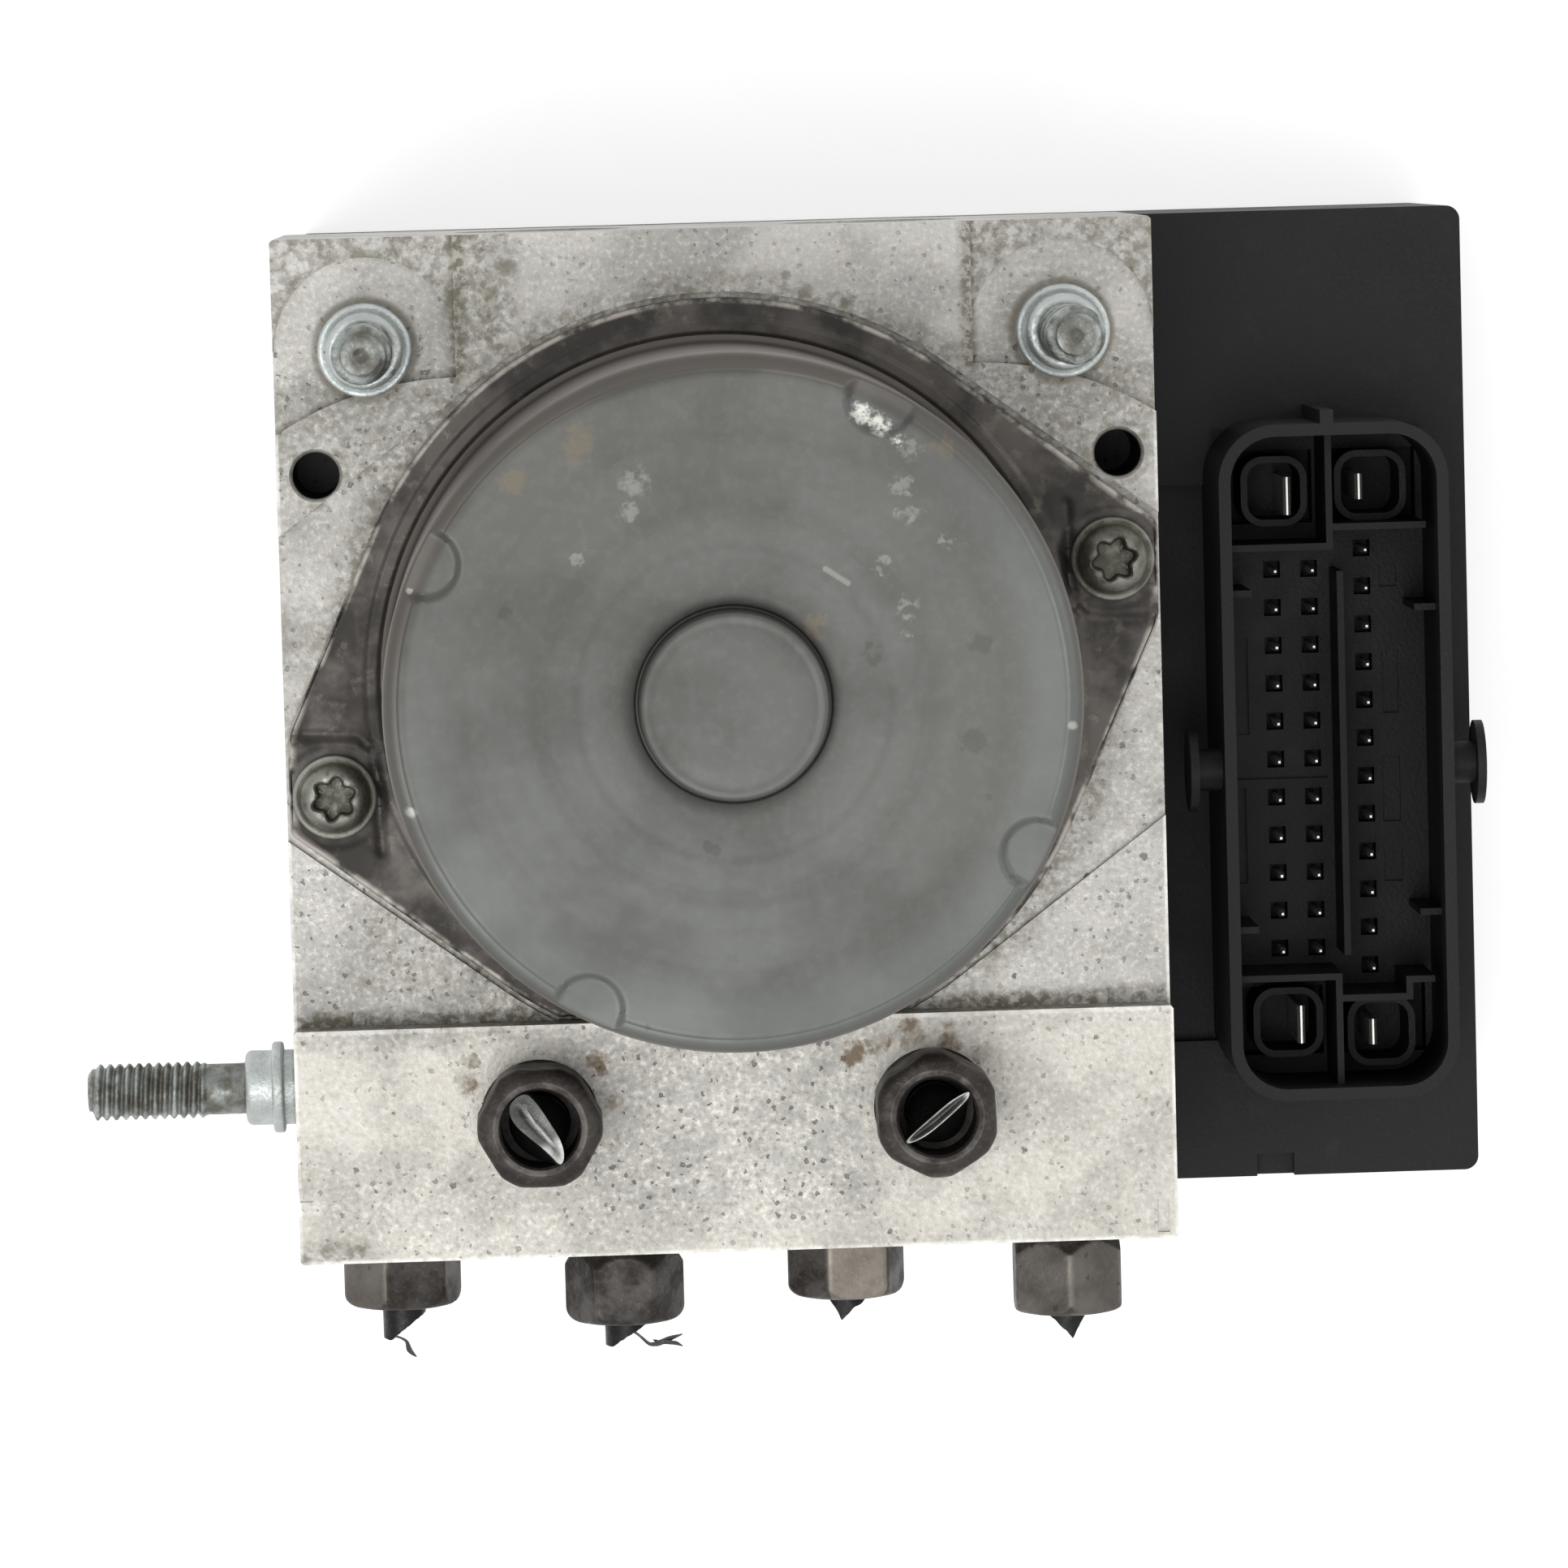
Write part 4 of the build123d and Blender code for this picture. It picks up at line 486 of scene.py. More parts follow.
def makeFlangeMaterial():
    # the same steel under oily grime, with a painted highlight along its cut edge
    look = flangeLook
    material, shader, place = newMaterial("motorFlangeSteel")
    patches, dusty = cloudMask(place, 130.0, 0.38, 0.64), cloudMask(place, 420.0, 0.54, 0.72)
    nicks = pitMask(place, 420.0, 0.2, 0.25)
    base = layered(tint(patches, look["steel"], look["dark"]), look, [
        (times(dusty, 0.5), "dust"),
        (times(wearAndPaintedLightOf(place), cloudMask(place, 240.0, 0.40, 0.60)), "edge"),
        (times(nicks, 0.4), "dust"),
    ])
    setFinish(shader, base, 0.5, timesPlus(patches, 0.18, 0.38), minus(dusty, nicks), 0.05, 0.5)
    return material


def makeWornMetal(name, look, metallic, scale=300.0, pitShare=0.2):
    # a small steel piece: two tones in patches, a third, lighter, for wear and painted highlights, the dark
    # one for dirt and painted shade
    material, shader, place = newMaterial(name)
    patches, fine = cloudMask(place, scale, 0.36, 0.64), cloudMask(place, scale * 6, 0.45, 0.7)
    edge = wearAndPaintedLightOf(place)
    worn = cloudMask(place, scale * 2, 0.30, 0.60)
    nicks = pitMask(place, 900.0, pitShare, 0.35)
    base = layered(tint(patches, look["base"], look["dark"]), look, [
        (times(fine, 0.35), "stain"),
        (times(edge, timesPlus(worn, 0.4, 0.6)), "highlightAndWear"),
        (times(edge, ramp(fine, 0.0, 1.0, -1.0, -0.7)), "dark"),
        (times(nicks, 0.5), "dark"),
    ])
    rough = timesPlus(patches, 0.15, look["rough"])
    setFinish(shader, base, metallic, rough, minus(fine, nicks), 0.04, 0.6)
    return material


def makePlainFinish(name, base, shade, metallic, roughness, scale=300.0, stretch=(1.0, 1.0, 1.0), depth=0.02):
    # two close tones in drawn-out grain, with the same grain in the roughness and the bump
    material, shader, place = newMaterial(name)
    marks = grain(place, stretch, scale)
    amount = timesPlus(cloudMask(place, scale * 0.3, 0.35, 0.7), 0.5, times(marks, 0.5))
    mixed = tint(amount, colour(*base), colour(*shade))
    setFinish(shader, mixed, metallic, timesPlus(marks, 0.2, roughness - 0.1), marks, depth, 0.6)
    return material


housingLook = {
    "plastic": colour(0.0150, 0.0145, 0.0150), "deep": colour(0.0050, 0.0050, 0.0053),
    "dust": colour(0.050, 0.047, 0.042), "socket": colour(0.0020, 0.0020, 0.0022), "gloss": 0.17,
}


def makeHousingMaterial():
    # glass-filled black plastic with a fine moulded texture, dusty in patches, with painted shade down in the
    # socket
    look = housingLook
    material, shader, place = newMaterial("housingPlastic")
    x, y, z = axes(place)
    fine, patches = cloudMask(place, 2400.0, 0.4, 0.7), cloudMask(place, 70.0, 0.42, 0.70)
    dusty = times(cloudMask(place, 210.0, 0.56, 0.78), times(ramp(z, 0.0385, 0.0365), 0.18))
    inSocket = times(close(x, 0.0649, 0.0115, 0.0109), close(y, -0.01266, 0.0349, 0.0343))
    base = layered(tint(times(patches, 0.6), look["plastic"], look["deep"]), look, [
        (times(fine, 0.10), "dust"),
        (dusty, "dust"),
        # painted shade down in the socket
        (times(times(inSocket, ramp(z, 0.0545, 0.0500)), 0.85), "socket"),
    ])
    shader.inputs["Specular IOR Level"].default_value = look["gloss"]
    setFinish(shader, base, 0.0, timesPlus(patches, -0.10, 0.52), fine, 0.03, 0.5)
    return material


screwLook = {
    "base": colour(0.215, 0.217, 0.185), "dark": colour(0.070, 0.067, 0.052),
    "stain": colour(0.145, 0.137, 0.094), "highlightAndWear": colour(0.46, 0.47, 0.42), "rough": 0.42,
}
zincLook = {
    "base": colour(0.40, 0.44, 0.43), "dark": colour(0.115, 0.112, 0.095),
    "stain": colour(0.27, 0.27, 0.23), "highlightAndWear": colour(0.60, 0.64, 0.63), "rough": 0.34,
}
nutLook = {
    "base": colour(0.096, 0.088, 0.081), "dark": colour(0.022, 0.018, 0.016),
    "stain": colour(0.125, 0.106, 0.092), "highlightAndWear": colour(0.265, 0.238, 0.205), "rough": 0.45,
}
pipeLook = {
    "base": colour(0.012, 0.012, 0.012), "dark": colour(0.006, 0.006, 0.006),
    "stain": colour(0.026, 0.024, 0.022), "highlightAndWear": colour(0.60, 0.61, 0.58), "rough": 0.30,
}
# each finish's two tones, metallic, roughness and grain scale, then where needed its stretch and bump depth
plainLooks = {
    "coverPlastic": ((0.024, 0.024, 0.025), (0.011, 0.011, 0.011), 0.0, 0.5, 1800.0),
    "pinTin": ((0.62, 0.61, 0.58), (0.40, 0.39, 0.37), 0.9, 0.3, 900.0, (1, 1, 0.2)),
    "turnedSteel": ((0.46, 0.46, 0.45), (0.30, 0.30, 0.29), 0.9, 0.32, 1500.0),
    "bearingSteel": ((0.58, 0.58, 0.57), (0.44, 0.44, 0.43), 0.95, 0.2, 1200.0),
    "magnetFerrite": ((0.045, 0.043, 0.042), (0.025, 0.024, 0.023), 0.1, 0.6, 700.0),
    "bushBronze": ((0.42, 0.26, 0.11), (0.28, 0.16, 0.07), 0.85, 0.4, 1300.0),
    "brushPlatePlastic": ((0.05, 0.05, 0.052), (0.03, 0.03, 0.03), 0.0, 0.5, 1100.0),
    "brushCarbon": ((0.035, 0.034, 0.034), (0.018, 0.018, 0.018), 0.15, 0.55, 1800.0),
    "coreSheets": ((0.24, 0.24, 0.25), (0.12, 0.12, 0.125), 0.75, 0.42, 900.0, (0.05, 0.05, 1.6)),
    "windingCopper": ((0.56, 0.24, 0.11), (0.34, 0.13, 0.06), 0.85, 0.35, 1100.0, (1, 1, 0.3), 0.06),
    "springSteel": ((0.40, 0.40, 0.41), (0.26, 0.26, 0.27), 0.9, 0.3, 1500.0),
    "pistonAnodised": ((0.30, 0.29, 0.26), (0.21, 0.20, 0.18), 0.5, 0.38, 900.0),
    "sealRubber": ((0.020, 0.020, 0.020), (0.012, 0.012, 0.012), 0.0, 0.72, 900.0),
    "boardLaminate": ((0.025, 0.11, 0.045), (0.018, 0.075, 0.03), 0.0, 0.38, 500.0),
    "boardChips": ((0.030, 0.030, 0.031), (0.018, 0.018, 0.018), 0.0, 0.45, 1400.0),
}

blockMaterial = makeBlockMaterial()
canMaterial = makeCanMaterial()
flangeMaterial = makeFlangeMaterial()
housingMaterial = makeHousingMaterial()
screwMaterial = makeWornMetal("screwSteel", screwLook, 0.75)
zincMaterial = makeWornMetal("studZinc", zincLook, 0.7, 420.0, 0.1)
nutMaterial = makeWornMetal("nutSteel", nutLook, 0.6)
pipeMaterial = makeWornMetal("pipeSteel", pipeLook, 0.6)
plain = {name: makePlainFinish(name, *look) for name, look in plainLooks.items()}
print("materials ready")

# a node's own finish goes before its slot's
nodeFinish = {
    "hydraulic_block": blockMaterial, "ecu_housing": housingMaterial, "ecu_cover": plain["coverPlastic"],
    "signal_pins": plain["pinTin"], "power_blades": plain["pinTin"], "pump_plugs": plain["turnedSteel"],
    "accumulator_caps": plain["turnedSteel"],
}
slotFinish = {
    "block_aluminium": blockMaterial, "can_steel": canMaterial, "magnet_ferrite": plain["magnetFerrite"],
    "screw_steel": screwMaterial, "bush_bronze": plain["bushBronze"],
    "bearing_steel": plain["bearingSteel"], "motor_plastic": plain["brushPlatePlastic"],
    "carbon": plain["brushCarbon"], "core_steel": plain["coreSheets"], "copper": plain["windingCopper"],
    "spring_steel": plain["springSteel"], "turned_steel": plain["turnedSteel"],
    "anodised_aluminium": plain["pistonAnodised"], "seal_rubber": plain["sealRubber"],
    "ecu_plastic": housingMaterial, "board_green": plain["boardLaminate"],
    "board_parts": plain["boardChips"], "tin": plain["pinTin"], "stud_zinc": zincMaterial,
    "nut_steel": nutMaterial, "pipe_steel": pipeMaterial,
}


# meshes from grids

def smooth(low, high, value):
    # 0 below low, 1 above high, an S curve between
    t = np.clip((value - low) / (high - low), 0.0, 1.0)
    return t * t * (3 - 2 * t)


def around(columns):
    # an angle for each column
    return np.linspace(0, 2 * np.pi, columns, endpoint=False)


def perColumn(levels, columns):
    # a row for each level, which is a number or one value for each column
    return np.array([np.broadcast_to(level, columns) for level in levels], float)


def roundGrid(radii, heights, columns):
    # point = (r cos a, r sin a, z), a row for each profile step and a column for each angle a
    angle = around(columns)
    radii, heights = perColumn(radii, columns), perColumn(heights, columns)
    return np.stack([radii * np.cos(angle), radii * np.sin(angle), heights], axis=-1)


def arc(middleR, middleZ, radius, fromAngle, toAngle, steps):
    # points of a circle's arc in the profile plane: middle + radius (cos t, sin t)
    t = np.radians(np.linspace(fromAngle, toAngle, steps))
    return middleR + radius * np.cos(t), middleZ + radius * np.sin(t)


def straight(fromPoint, toPoint, steps):
    # evenly spaced points of a line, its ends included
    t = np.linspace(0, 1, steps)
    return fromPoint[0] + (toPoint[0] - fromPoint[0]) * t, fromPoint[1] + (toPoint[1] - fromPoint[1]) * t


def profile(*stretches):
    # joins stretches, each (radii, heights), into one list of radii and one of heights
    return [np.concatenate([np.atleast_1d(np.asarray(part[i], float)) for part in stretches]) for i in (0, 1)]


def shellOf(grid, wear=None, ring=False, turn=None, move=(0, 0, 0)):
    # closes a grid round its columns, and either round its rows or with a point at each end; faces go outward
    rows, columns, _ = grid.shape
    index = np.arange(rows * columns).reshape(rows, columns)
    points = grid.reshape(-1, 3)
    wear = perColumn(np.zeros(rows) if wear is None else wear, columns).ravel()
    here = index if ring else index[:-1]
    after = np.roll(index, -1, axis=0) if ring else index[1:]
    quads = np.stack([here, np.roll(here, -1, 1), np.roll(after, -1, 1), after], axis=-1).reshape(-1, 4)
    triangles = np.zeros((0, 3), int)
    if not ring:
        first, last = rows * columns, rows * columns + 1
        points = np.vstack([points, grid[0].mean(0), grid[-1].mean(0)])
        wear = np.append(wear, [wear[0], wear[-1]])
        start = np.stack([np.roll(index[0], -1), index[0], np.full(columns, first)], axis=-1)
        end = np.stack([index[-1], np.roll(index[-1], -1), np.full(columns, last)], axis=-1)
        triangles = np.vstack([start, end])
    a, b, c, d = (points[quads[:, i]] for i in range(4))
    volume = np.einsum("ij,ij->", a, np.cross(b, c)) + np.einsum("ij,ij->", a, np.cross(c, d))
    if len(triangles):
        a, b, c = (points[triangles[:, i]] for i in range(3))
        volume += np.einsum("ij,ij->", a, np.cross(b, c))
    if volume < 0:
        quads, triangles = quads[:, ::-1], triangles[:, ::-1]
    if turn is not None:
        points = points @ np.asarray(turn, float)
    return points + np.asarray(move, float), quads, triangles, wear


def latheShell(rows, columns, **how):
    # a shell from rows of (radius, height, wear and painted light), each a number or one value for each
    # column
    radii, heights, wear = zip(*rows)
    return shellOf(roundGrid(radii, heights, columns), wear, **how)


def makePiece(name, shells, material, nodes, sharpAngle=32):
    # one object on the unit's body from several closed shells, given in millimetres
    starts = np.cumsum([0] + [len(shell[0]) for shell in shells])
    points = np.vstack([shell[0] for shell in shells]) * mm
    quads = np.vstack([shell[1] + start for shell, start in zip(shells, starts)])
    triangles = np.vstack([shell[2] + start for shell, start in zip(shells, starts)])
    mesh = bpy.data.meshes.new(name)
    mesh.from_pydata(points.tolist(), [], quads.tolist() + triangles.tolist())
    mesh.polygons.foreach_set("use_smooth", np.ones(len(mesh.polygons), bool))
    mesh.set_sharp_from_angle(angle=math.radians(sharpAngle))
    wearAndPaintedLight = mesh.attributes.new("wearAndPaintedLight", "FLOAT", "POINT")
    wearAndPaintedLight.data.foreach_set("value", np.concatenate([shell[3] for shell in shells]).astype(np.float32))
    mesh.validate()
    mesh.materials.append(material)
    piece = bpy.data.objects.new(name, mesh)
    bpy.context.scene.collection.objects.link(piece)
    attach(piece, "unit")
    if nodes:
        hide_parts(*nodes)
    print(name, "made,", len(quads) * 2 + len(triangles), "triangles")
    return piece


# rows are the shell's own x, y and z axes, seen in the part; the wheel ports are in the face at -58.1 in Y
downY = ((1, 0, 0), (0, 0, 1), (0, -1, 0))
downX = ((0, 1, 0), (0, 0, 1), (-1, 0, 0))
portFace, portHeight, ledgeTop = -58.1, 58.0, 84.0


# motor can; heights and radii in millimetres, as in every dictionary below

canSizes = {
    "radius": 33.85, "face": 119.5, "edge": 1.5, "dish": 0.7, "bossRadius": 9.15, "bossTop": 122.6,
    "bossEdge": 0.6, "groove": 0.55, "grooveDepth": 0.22, "innerRadius": 31.85, "innerFace": 117.5,
    "bossBore": 7.5, "bossRoof": 2.0, "rings": ((18.4, 0.5), (15.2, 0.4)), "ringDepth": 0.03,
    "foot": 82.1, "footRound": 0.9, "dimpleReach": 32.65, "dimpleRadius": 3.5, "dimpleDepth": 0.5,
    "dimpleAngles": (62.5, 154.0, 243.0, 332.0), "columns": 720,
}


def makeMotorCan():
    # lathe profile from the middle of the boss out over its groove, the dished face and the rolled edge,
    # down the side and back up inside; dimples are pressed down where a point is within their radius
    s = canSizes
    radius, face, boss, bossTop = s["radius"], s["face"], s["bossRadius"], s["bossTop"]
    innerRadius, innerFace = s["innerRadius"], s["innerFace"]
    faceIn, faceOut = boss + s["groove"], radius - s["edge"]
    grooveZ = face - s["dish"] - s["grooveDepth"]
    faceRadii = np.concatenate([np.linspace(faceIn, 27.6, 14), np.linspace(27.9, faceOut - 0.3, 20)])
    faceHeights = face - s["dish"] * (radius - faceRadii) / (radius - faceIn)
    for middle, width in s["rings"]:
        faceHeights -= s["ringDepth"] * np.exp(-((faceRadii - middle) / width) ** 2)
    inside = (
        straight((radius + 0.5, 80.9), (innerRadius + 0.2, 80.6), 2),
        straight((innerRadius, 81.0), (innerRadius, innerFace - 0.3), 3),
        straight((innerRadius - 0.3, innerFace), (9.2, innerFace - 0.7), 3),
        straight((s["bossBore"], innerFace - 0.5), (s["bossBore"], bossTop - s["bossRoof"]), 2),
        (0.6, bossTop - s["bossRoof"]),
    )
    radii, heights = profile(
        (np.array([0.6, 3.0, 6.0, 7.6, 7.9, 8.2]), bossTop - np.array([0.0, 0.0, 0.01, 0.02, 0.05, 0.03])),
        arc(boss - s["bossEdge"], bossTop - s["bossEdge"], s["bossEdge"], 88, 0, 8),
        straight((boss, bossTop - 1.6), (boss + 0.05, grooveZ + 0.3), 4),
        (boss + np.array([0.10, 0.18, 0.28]), grooveZ + np.array([0.02, 0.0, 0.0])),
        straight((boss + 0.36, grooveZ + 0.08), (faceIn - 0.06, grooveZ + 0.19), 3),
        (faceRadii, faceHeights),
        (np.array([faceOut - 0.12, faceOut]), face - np.array([0.075, 0.045])),
        arc(faceOut, face - s["edge"], s["edge"], 86, 0, 14),
        straight((radius, 116.5), (radius, 83.0), 7),
        arc(radius + s["footRound"], s["foot"], s["footRound"], 180, 262, 6),
        *inside,
    )
    grid = roundGrid(radii, heights, s["columns"])
    outer = (np.arange(len(radii)) < len(radii) - len(profile(*inside)[0]))[:, None]
    for angle in np.radians(s["dimpleAngles"]):
        middle = s["dimpleReach"] * np.array([math.cos(angle), math.sin(angle)])
        away = np.hypot(grid[..., 0] - middle[0], grid[..., 1] - middle[1])
        floor = face - s["dimpleDepth"] - 0.05 - 0.02 * away
        above = smooth(s["dimpleRadius"] - 0.6, s["dimpleRadius"] + 0.15, away)
        pressed = np.minimum(grid[..., 2], floor + (grid[..., 2] - floor) * above)
        grid[..., 2] = np.where(outer & (grid[..., 2] > floor - 0.4), pressed, grid[..., 2])
    wear = smooth(118.0, 119.3, heights) * smooth(30.6, 33.0, radii)
    return makePiece("motorCan", [shellOf(grid, wear)], canMaterial, ["motor_can"], 28)


# motor flange

flangeSizes = {
    "radius": 38.3, "earX": 44.2, "upper": 53.0, "lower": -24.5, "foot": 34.0, "under": 79.2, "top": 81.2,
    "inner": 33.4, "bevel": 0.35, "screwX": 39.6, "screwY": 10.9, "bead": 0.28, "channel": 0.42,
    "channelRoute": ((35.0, 16.6), (35.4, 6.4), (37.0, 4.9), (44.5, 4.6)), "steps": 34, "columns": 840,
}


def softMin(first, second, blend):
    # the smaller of two lengths, rounded off where they cross
    share = np.clip(0.5 + 0.5 * (second - first) / blend, 0, 1)
    return second + (first - second) * share - blend * share * (1 - share)


def flangeReach(angle):
    # how far the outline is from the axis at an angle: a circle joined to two pointed ears, cut along its
    # foot; each straight side is its distance / cos (a - its direction)
    s = flangeSizes
    turned = (np.degrees(angle) + 360) % 360
    turned = np.where((turned > 100) & (turned < 260), turned - 180, turned)
    turned = np.where(turned > 180, turned - 360, turned)
    sides = ((s["radius"], s["upper"]), (s["earX"], 0.0), (s["radius"], s["lower"]))
    upper, side, lower = (
        reach / np.maximum(np.cos(np.radians(turned - facing)), 0.05) for reach, facing in sides
    )
    ear = softMin(softMin(upper, side, 0.5), lower, 0.5)
    inEar = (turned > s["lower"]) & (turned < s["upper"])
    reach = np.where(inEar, np.maximum(ear, s["radius"]), s["radius"])
    return np.minimum(reach, s["foot"] / np.maximum(-np.sin(angle), 0.05))


def distanceToLine(x, y, corners):
    # distance from points to a run of straight pieces
    best = np.full(np.shape(x), 1e9)
    for (ax, ay), (bx, by) in zip(corners[:-1], corners[1:]):
        t = np.clip(((x - ax) * (bx - ax) + (y - ay) * (by - ay)) / ((bx - ax) ** 2 + (by - ay) ** 2), 0, 1)
        best = np.minimum(best, np.hypot(x - ax - t * (bx - ax), y - ay - t * (by - ay)))
    return best


def makeMotorFlange():
    # rings from the can's wall out to the outline, over a rounded edge and back underneath; a raised bead
    # lies round the can, and a pressed channel bends past each screw
    s = flangeSizes
    inner, bevel, top = s["inner"], s["bevel"], s["top"]
    reach = flangeReach(around(s["columns"]))
    rows = [(inner + (reach - bevel - inner) * share, top) for share in np.linspace(0, 1, s["steps"])]
    for turned in np.radians((30, 60, 90)):
        rows.append((reach - bevel + bevel * math.sin(turned), top - bevel + bevel * math.cos(turned)))
    rows += [(reach, s["under"] + 0.2), (reach - 0.2, s["under"]), (inner, s["under"])]
    grid = roundGrid(*zip(*rows), s["columns"])
    x, y, upper = (grid[:s["steps"], :, i] for i in range(3))
    fromAxis = np.hypot(x, y)
    upper += s["bead"] * smooth(36.4, 36.0, fromAxis) * smooth(34.6, 35.0, fromAxis)
    for way in (1, -1):
        u, v = way * x, way * y
        upper -= s["channel"] * np.exp(-(distanceToLine(u, v, s["channelRoute"]) / 0.5) ** 2)
        upper -= 0.22 * smooth(0.4, -0.4, v - 4.6) * smooth(35.8, 37.0, u) * smooth(-14, -6, v)
        upper -= 0.20 * smooth(5.6, 4.9, np.hypot(u - s["screwX"], v - s["screwY"]))
    # the rounded cut edge carries the painted highlight
    wear = np.concatenate([np.zeros(s["steps"] - 2), [0.4, 0.9, 1, 1, 0.9, 0.4, 0.2, 0]])
    return makePiece("motorFlange", [shellOf(grid, wear, ring=True)], flangeMaterial, [], 40)


# flange screws

screwSizes = {
    "places": ((39.6, 10.9), (-39.6, -10.9)), "turns": (12, 20), "soiled": (-0.30, 0.0), "seat": 81.2,
    "washer": 4.25, "washerHeight": 1.0, "washerRound": 0.4, "head": 3.45, "top": 84.35, "dome": 1.7,
    "lobe": 1.9, "lobeSwing": 0.30, "drive": 1.25, "shank": 2.48, "end": 66.2, "columns": 120,
    "wearAndPaintedLight": (0.35, 0.25, 0.1, 0, 0, 0, 0, 0, -0.1), "rimWearAndHighlight": (0.1, 0.5, 0.6, 0.3, 0.1),
}


def makeMotorScrews():
    # lathe profile from the floor of the drive up its worn lobes, over the domed head and the washer, then
    # down the shank; the drive's wall stands at lobe + swing cos 6a from the axis
    s = screwSizes
    top, head, dome, shank, end = s["top"], s["head"], s["dome"], s["shank"], s["end"]
    seat, washer, rimRound = s["seat"], s["washer"], s["washerRound"]
    floor, washerTop = top - s["drive"], seat + s["washerHeight"]
    # the dome's edge and the washer's rim are lighter, for wear with painted highlights; the gap between them
    # darker, for painted shade
    edge = zip(*arc(head - dome, top - dome, dome, 66, 4, 9), s["wearAndPaintedLight"])
    rim = zip(*arc(washer - rimRound, washerTop - rimRound, rimRound, 90, 0, 5), s["rimWearAndHighlight"])
    outside = [
        *edge, (head + 0.05, washerTop + 0.25, -0.15), (head + 0.22, washerTop + 0.04, -0.2),
        *rim, (washer, seat, -0.4), (shank + 0.2, seat - 0.02, 0), (shank, seat - 0.2, 0),
        (shank, end + 0.4, 0), (shank - 0.4, end, 0), (0.4, end, 0),
    ]
    shells = []
    for (x, y), turned, soiled in zip(s["places"], s["turns"], s["soiled"]):
        lobed = s["lobe"] + s["lobeSwing"] * np.cos(6 * (around(s["columns"]) - math.radians(turned)))
        drive = [
            (0.5, floor - 0.1, -0.2), (lobed * 0.5, floor - 0.05, -0.2), (lobed - 0.18, floor, -0.5),
            (lobed - 0.04, floor + 0.15, -0.6), (lobed + 0.02, top - 0.55, -0.3),
            (lobed + 0.12, top - 0.25, 0.2), (lobed + 0.34, top - 0.08, 0.5),
        ]
        rows = [(r, z, wear + soiled) for r, z, wear in drive + outside]
        shells.append(latheShell(rows, s["columns"], move=(x, y, 0)))
    return makePiece("motorScrews", shells, screwMaterial, ["motor_screws"], 50)


# mounting studs; a pair is a radius and a length

studSizes = {
    "base": (3.9, 1.9), "ring": (4.75, 1.2), "collar": (3.9, 2.8), "collarRound": 0.7, "shank": (2.65, 4.1),
    "thread": (2.95, 12.3), "pitch": 1.0, "threadDepth": 0.42, "tip": 0.9, "rootRadius": 2.98, "root": 5.0,
    "frontPlaces": ((35.2, 34.0, 78.2), (-35.2, 34.0, 78.2)), "sidePlace": (-44.5, -43.0, 58.0),
    "columns": 72,
}


def studShell(turn, move):
    # lathe profile up the stud; along the thread the radius drops by depth x a triangle wave of
    # height / pitch - angle / turn
    s = studSizes
    radii, lengths = zip(*(s[part] for part in ("base", "ring", "collar", "shank", "thread")))
    base, ring, collar, shank, crestRadius = radii
    ringFrom, ringTo, collarTo, shankTo, end = np.cumsum(lengths)
    bend = s["collarRound"]
    low = profile(
        (np.array([0.4, s["rootRadius"] - 0.4, s["rootRadius"]]), -s["root"] + np.array([0.0, 0.0, 0.4])),
        (np.array([s["rootRadius"], base - 0.1, base]), np.array([-0.05, 0.0, 0.1])),
        straight((base, 0.3), (base, ringFrom - 0.05), 3),
        (ring - 0.3, ringFrom),
        arc(ring - 0.3, ringFrom + 0.3, 0.3, -60, 0, 4),
        arc(ring - 0.35, ringTo - 0.35, 0.35, 0, 90, 6),
        straight((4.2, ringTo - 0.03), (collar + 0.05, ringTo - 0.12), 3),
        straight((collar, ringTo), (collar, collarTo - bend), 3),
        arc(collar - bend, collarTo - bend, bend, 15, 90, 6),
        straight((shank + 0.15, collarTo), (shank, collarTo + 0.15), 2),
        straight((shank, collarTo + 0.5), (shank, shankTo - 0.4), 3),
    )
    lowWear = np.where((low[0] > 3.15) & (low[1] > 0.9), 0.75, -0.5)
    height = np.linspace(shankTo - 0.3, end - 0.25, int(s["thread"][1] / s["pitch"] * 10))[:, None]
    wave = (height / s["pitch"] - around(s["columns"]) / (2 * np.pi)) % 1.0
    groove = np.clip(1.25 - np.abs(wave - 0.5) * 3.2, 0, 1)
    run = smooth(shankTo - 0.2, shankTo + 1.0, height) * smooth(end + 0.1, end - 0.5, height)
    crest = crestRadius - s["tip"] * smooth(end - s["tip"], end, height)
    blank = shank + (crest - shank) * smooth(shankTo - 0.2, shankTo + 0.5, height)
    rows = list(zip(*low, lowWear))
    rows += list(zip(blank - s["threadDepth"] * groove * run, height[:, 0], 0.05 - 0.65 * groove))
    rows += [
        (1.95, end - 0.06, -0.5), (1.80, end, -0.75), (0.85, end - 0.05, -0.75), (0.60, end - 0.16, -0.95),
        (0.2, end - 0.45, -1.0),
    ]
    return latheShell(rows, s["columns"], turn=turn, move=move)


def makeStuds():
    shells = [studShell(None, place) for place in studSizes["frontPlaces"]]
    shells.append(studShell(downX, studSizes["sidePlace"]))
    return makePiece("mountingStuds", shells, zincMaterial, ["mounting_studs"], 50)


# brake line nuts; wear has a value for each pair of opposite flats

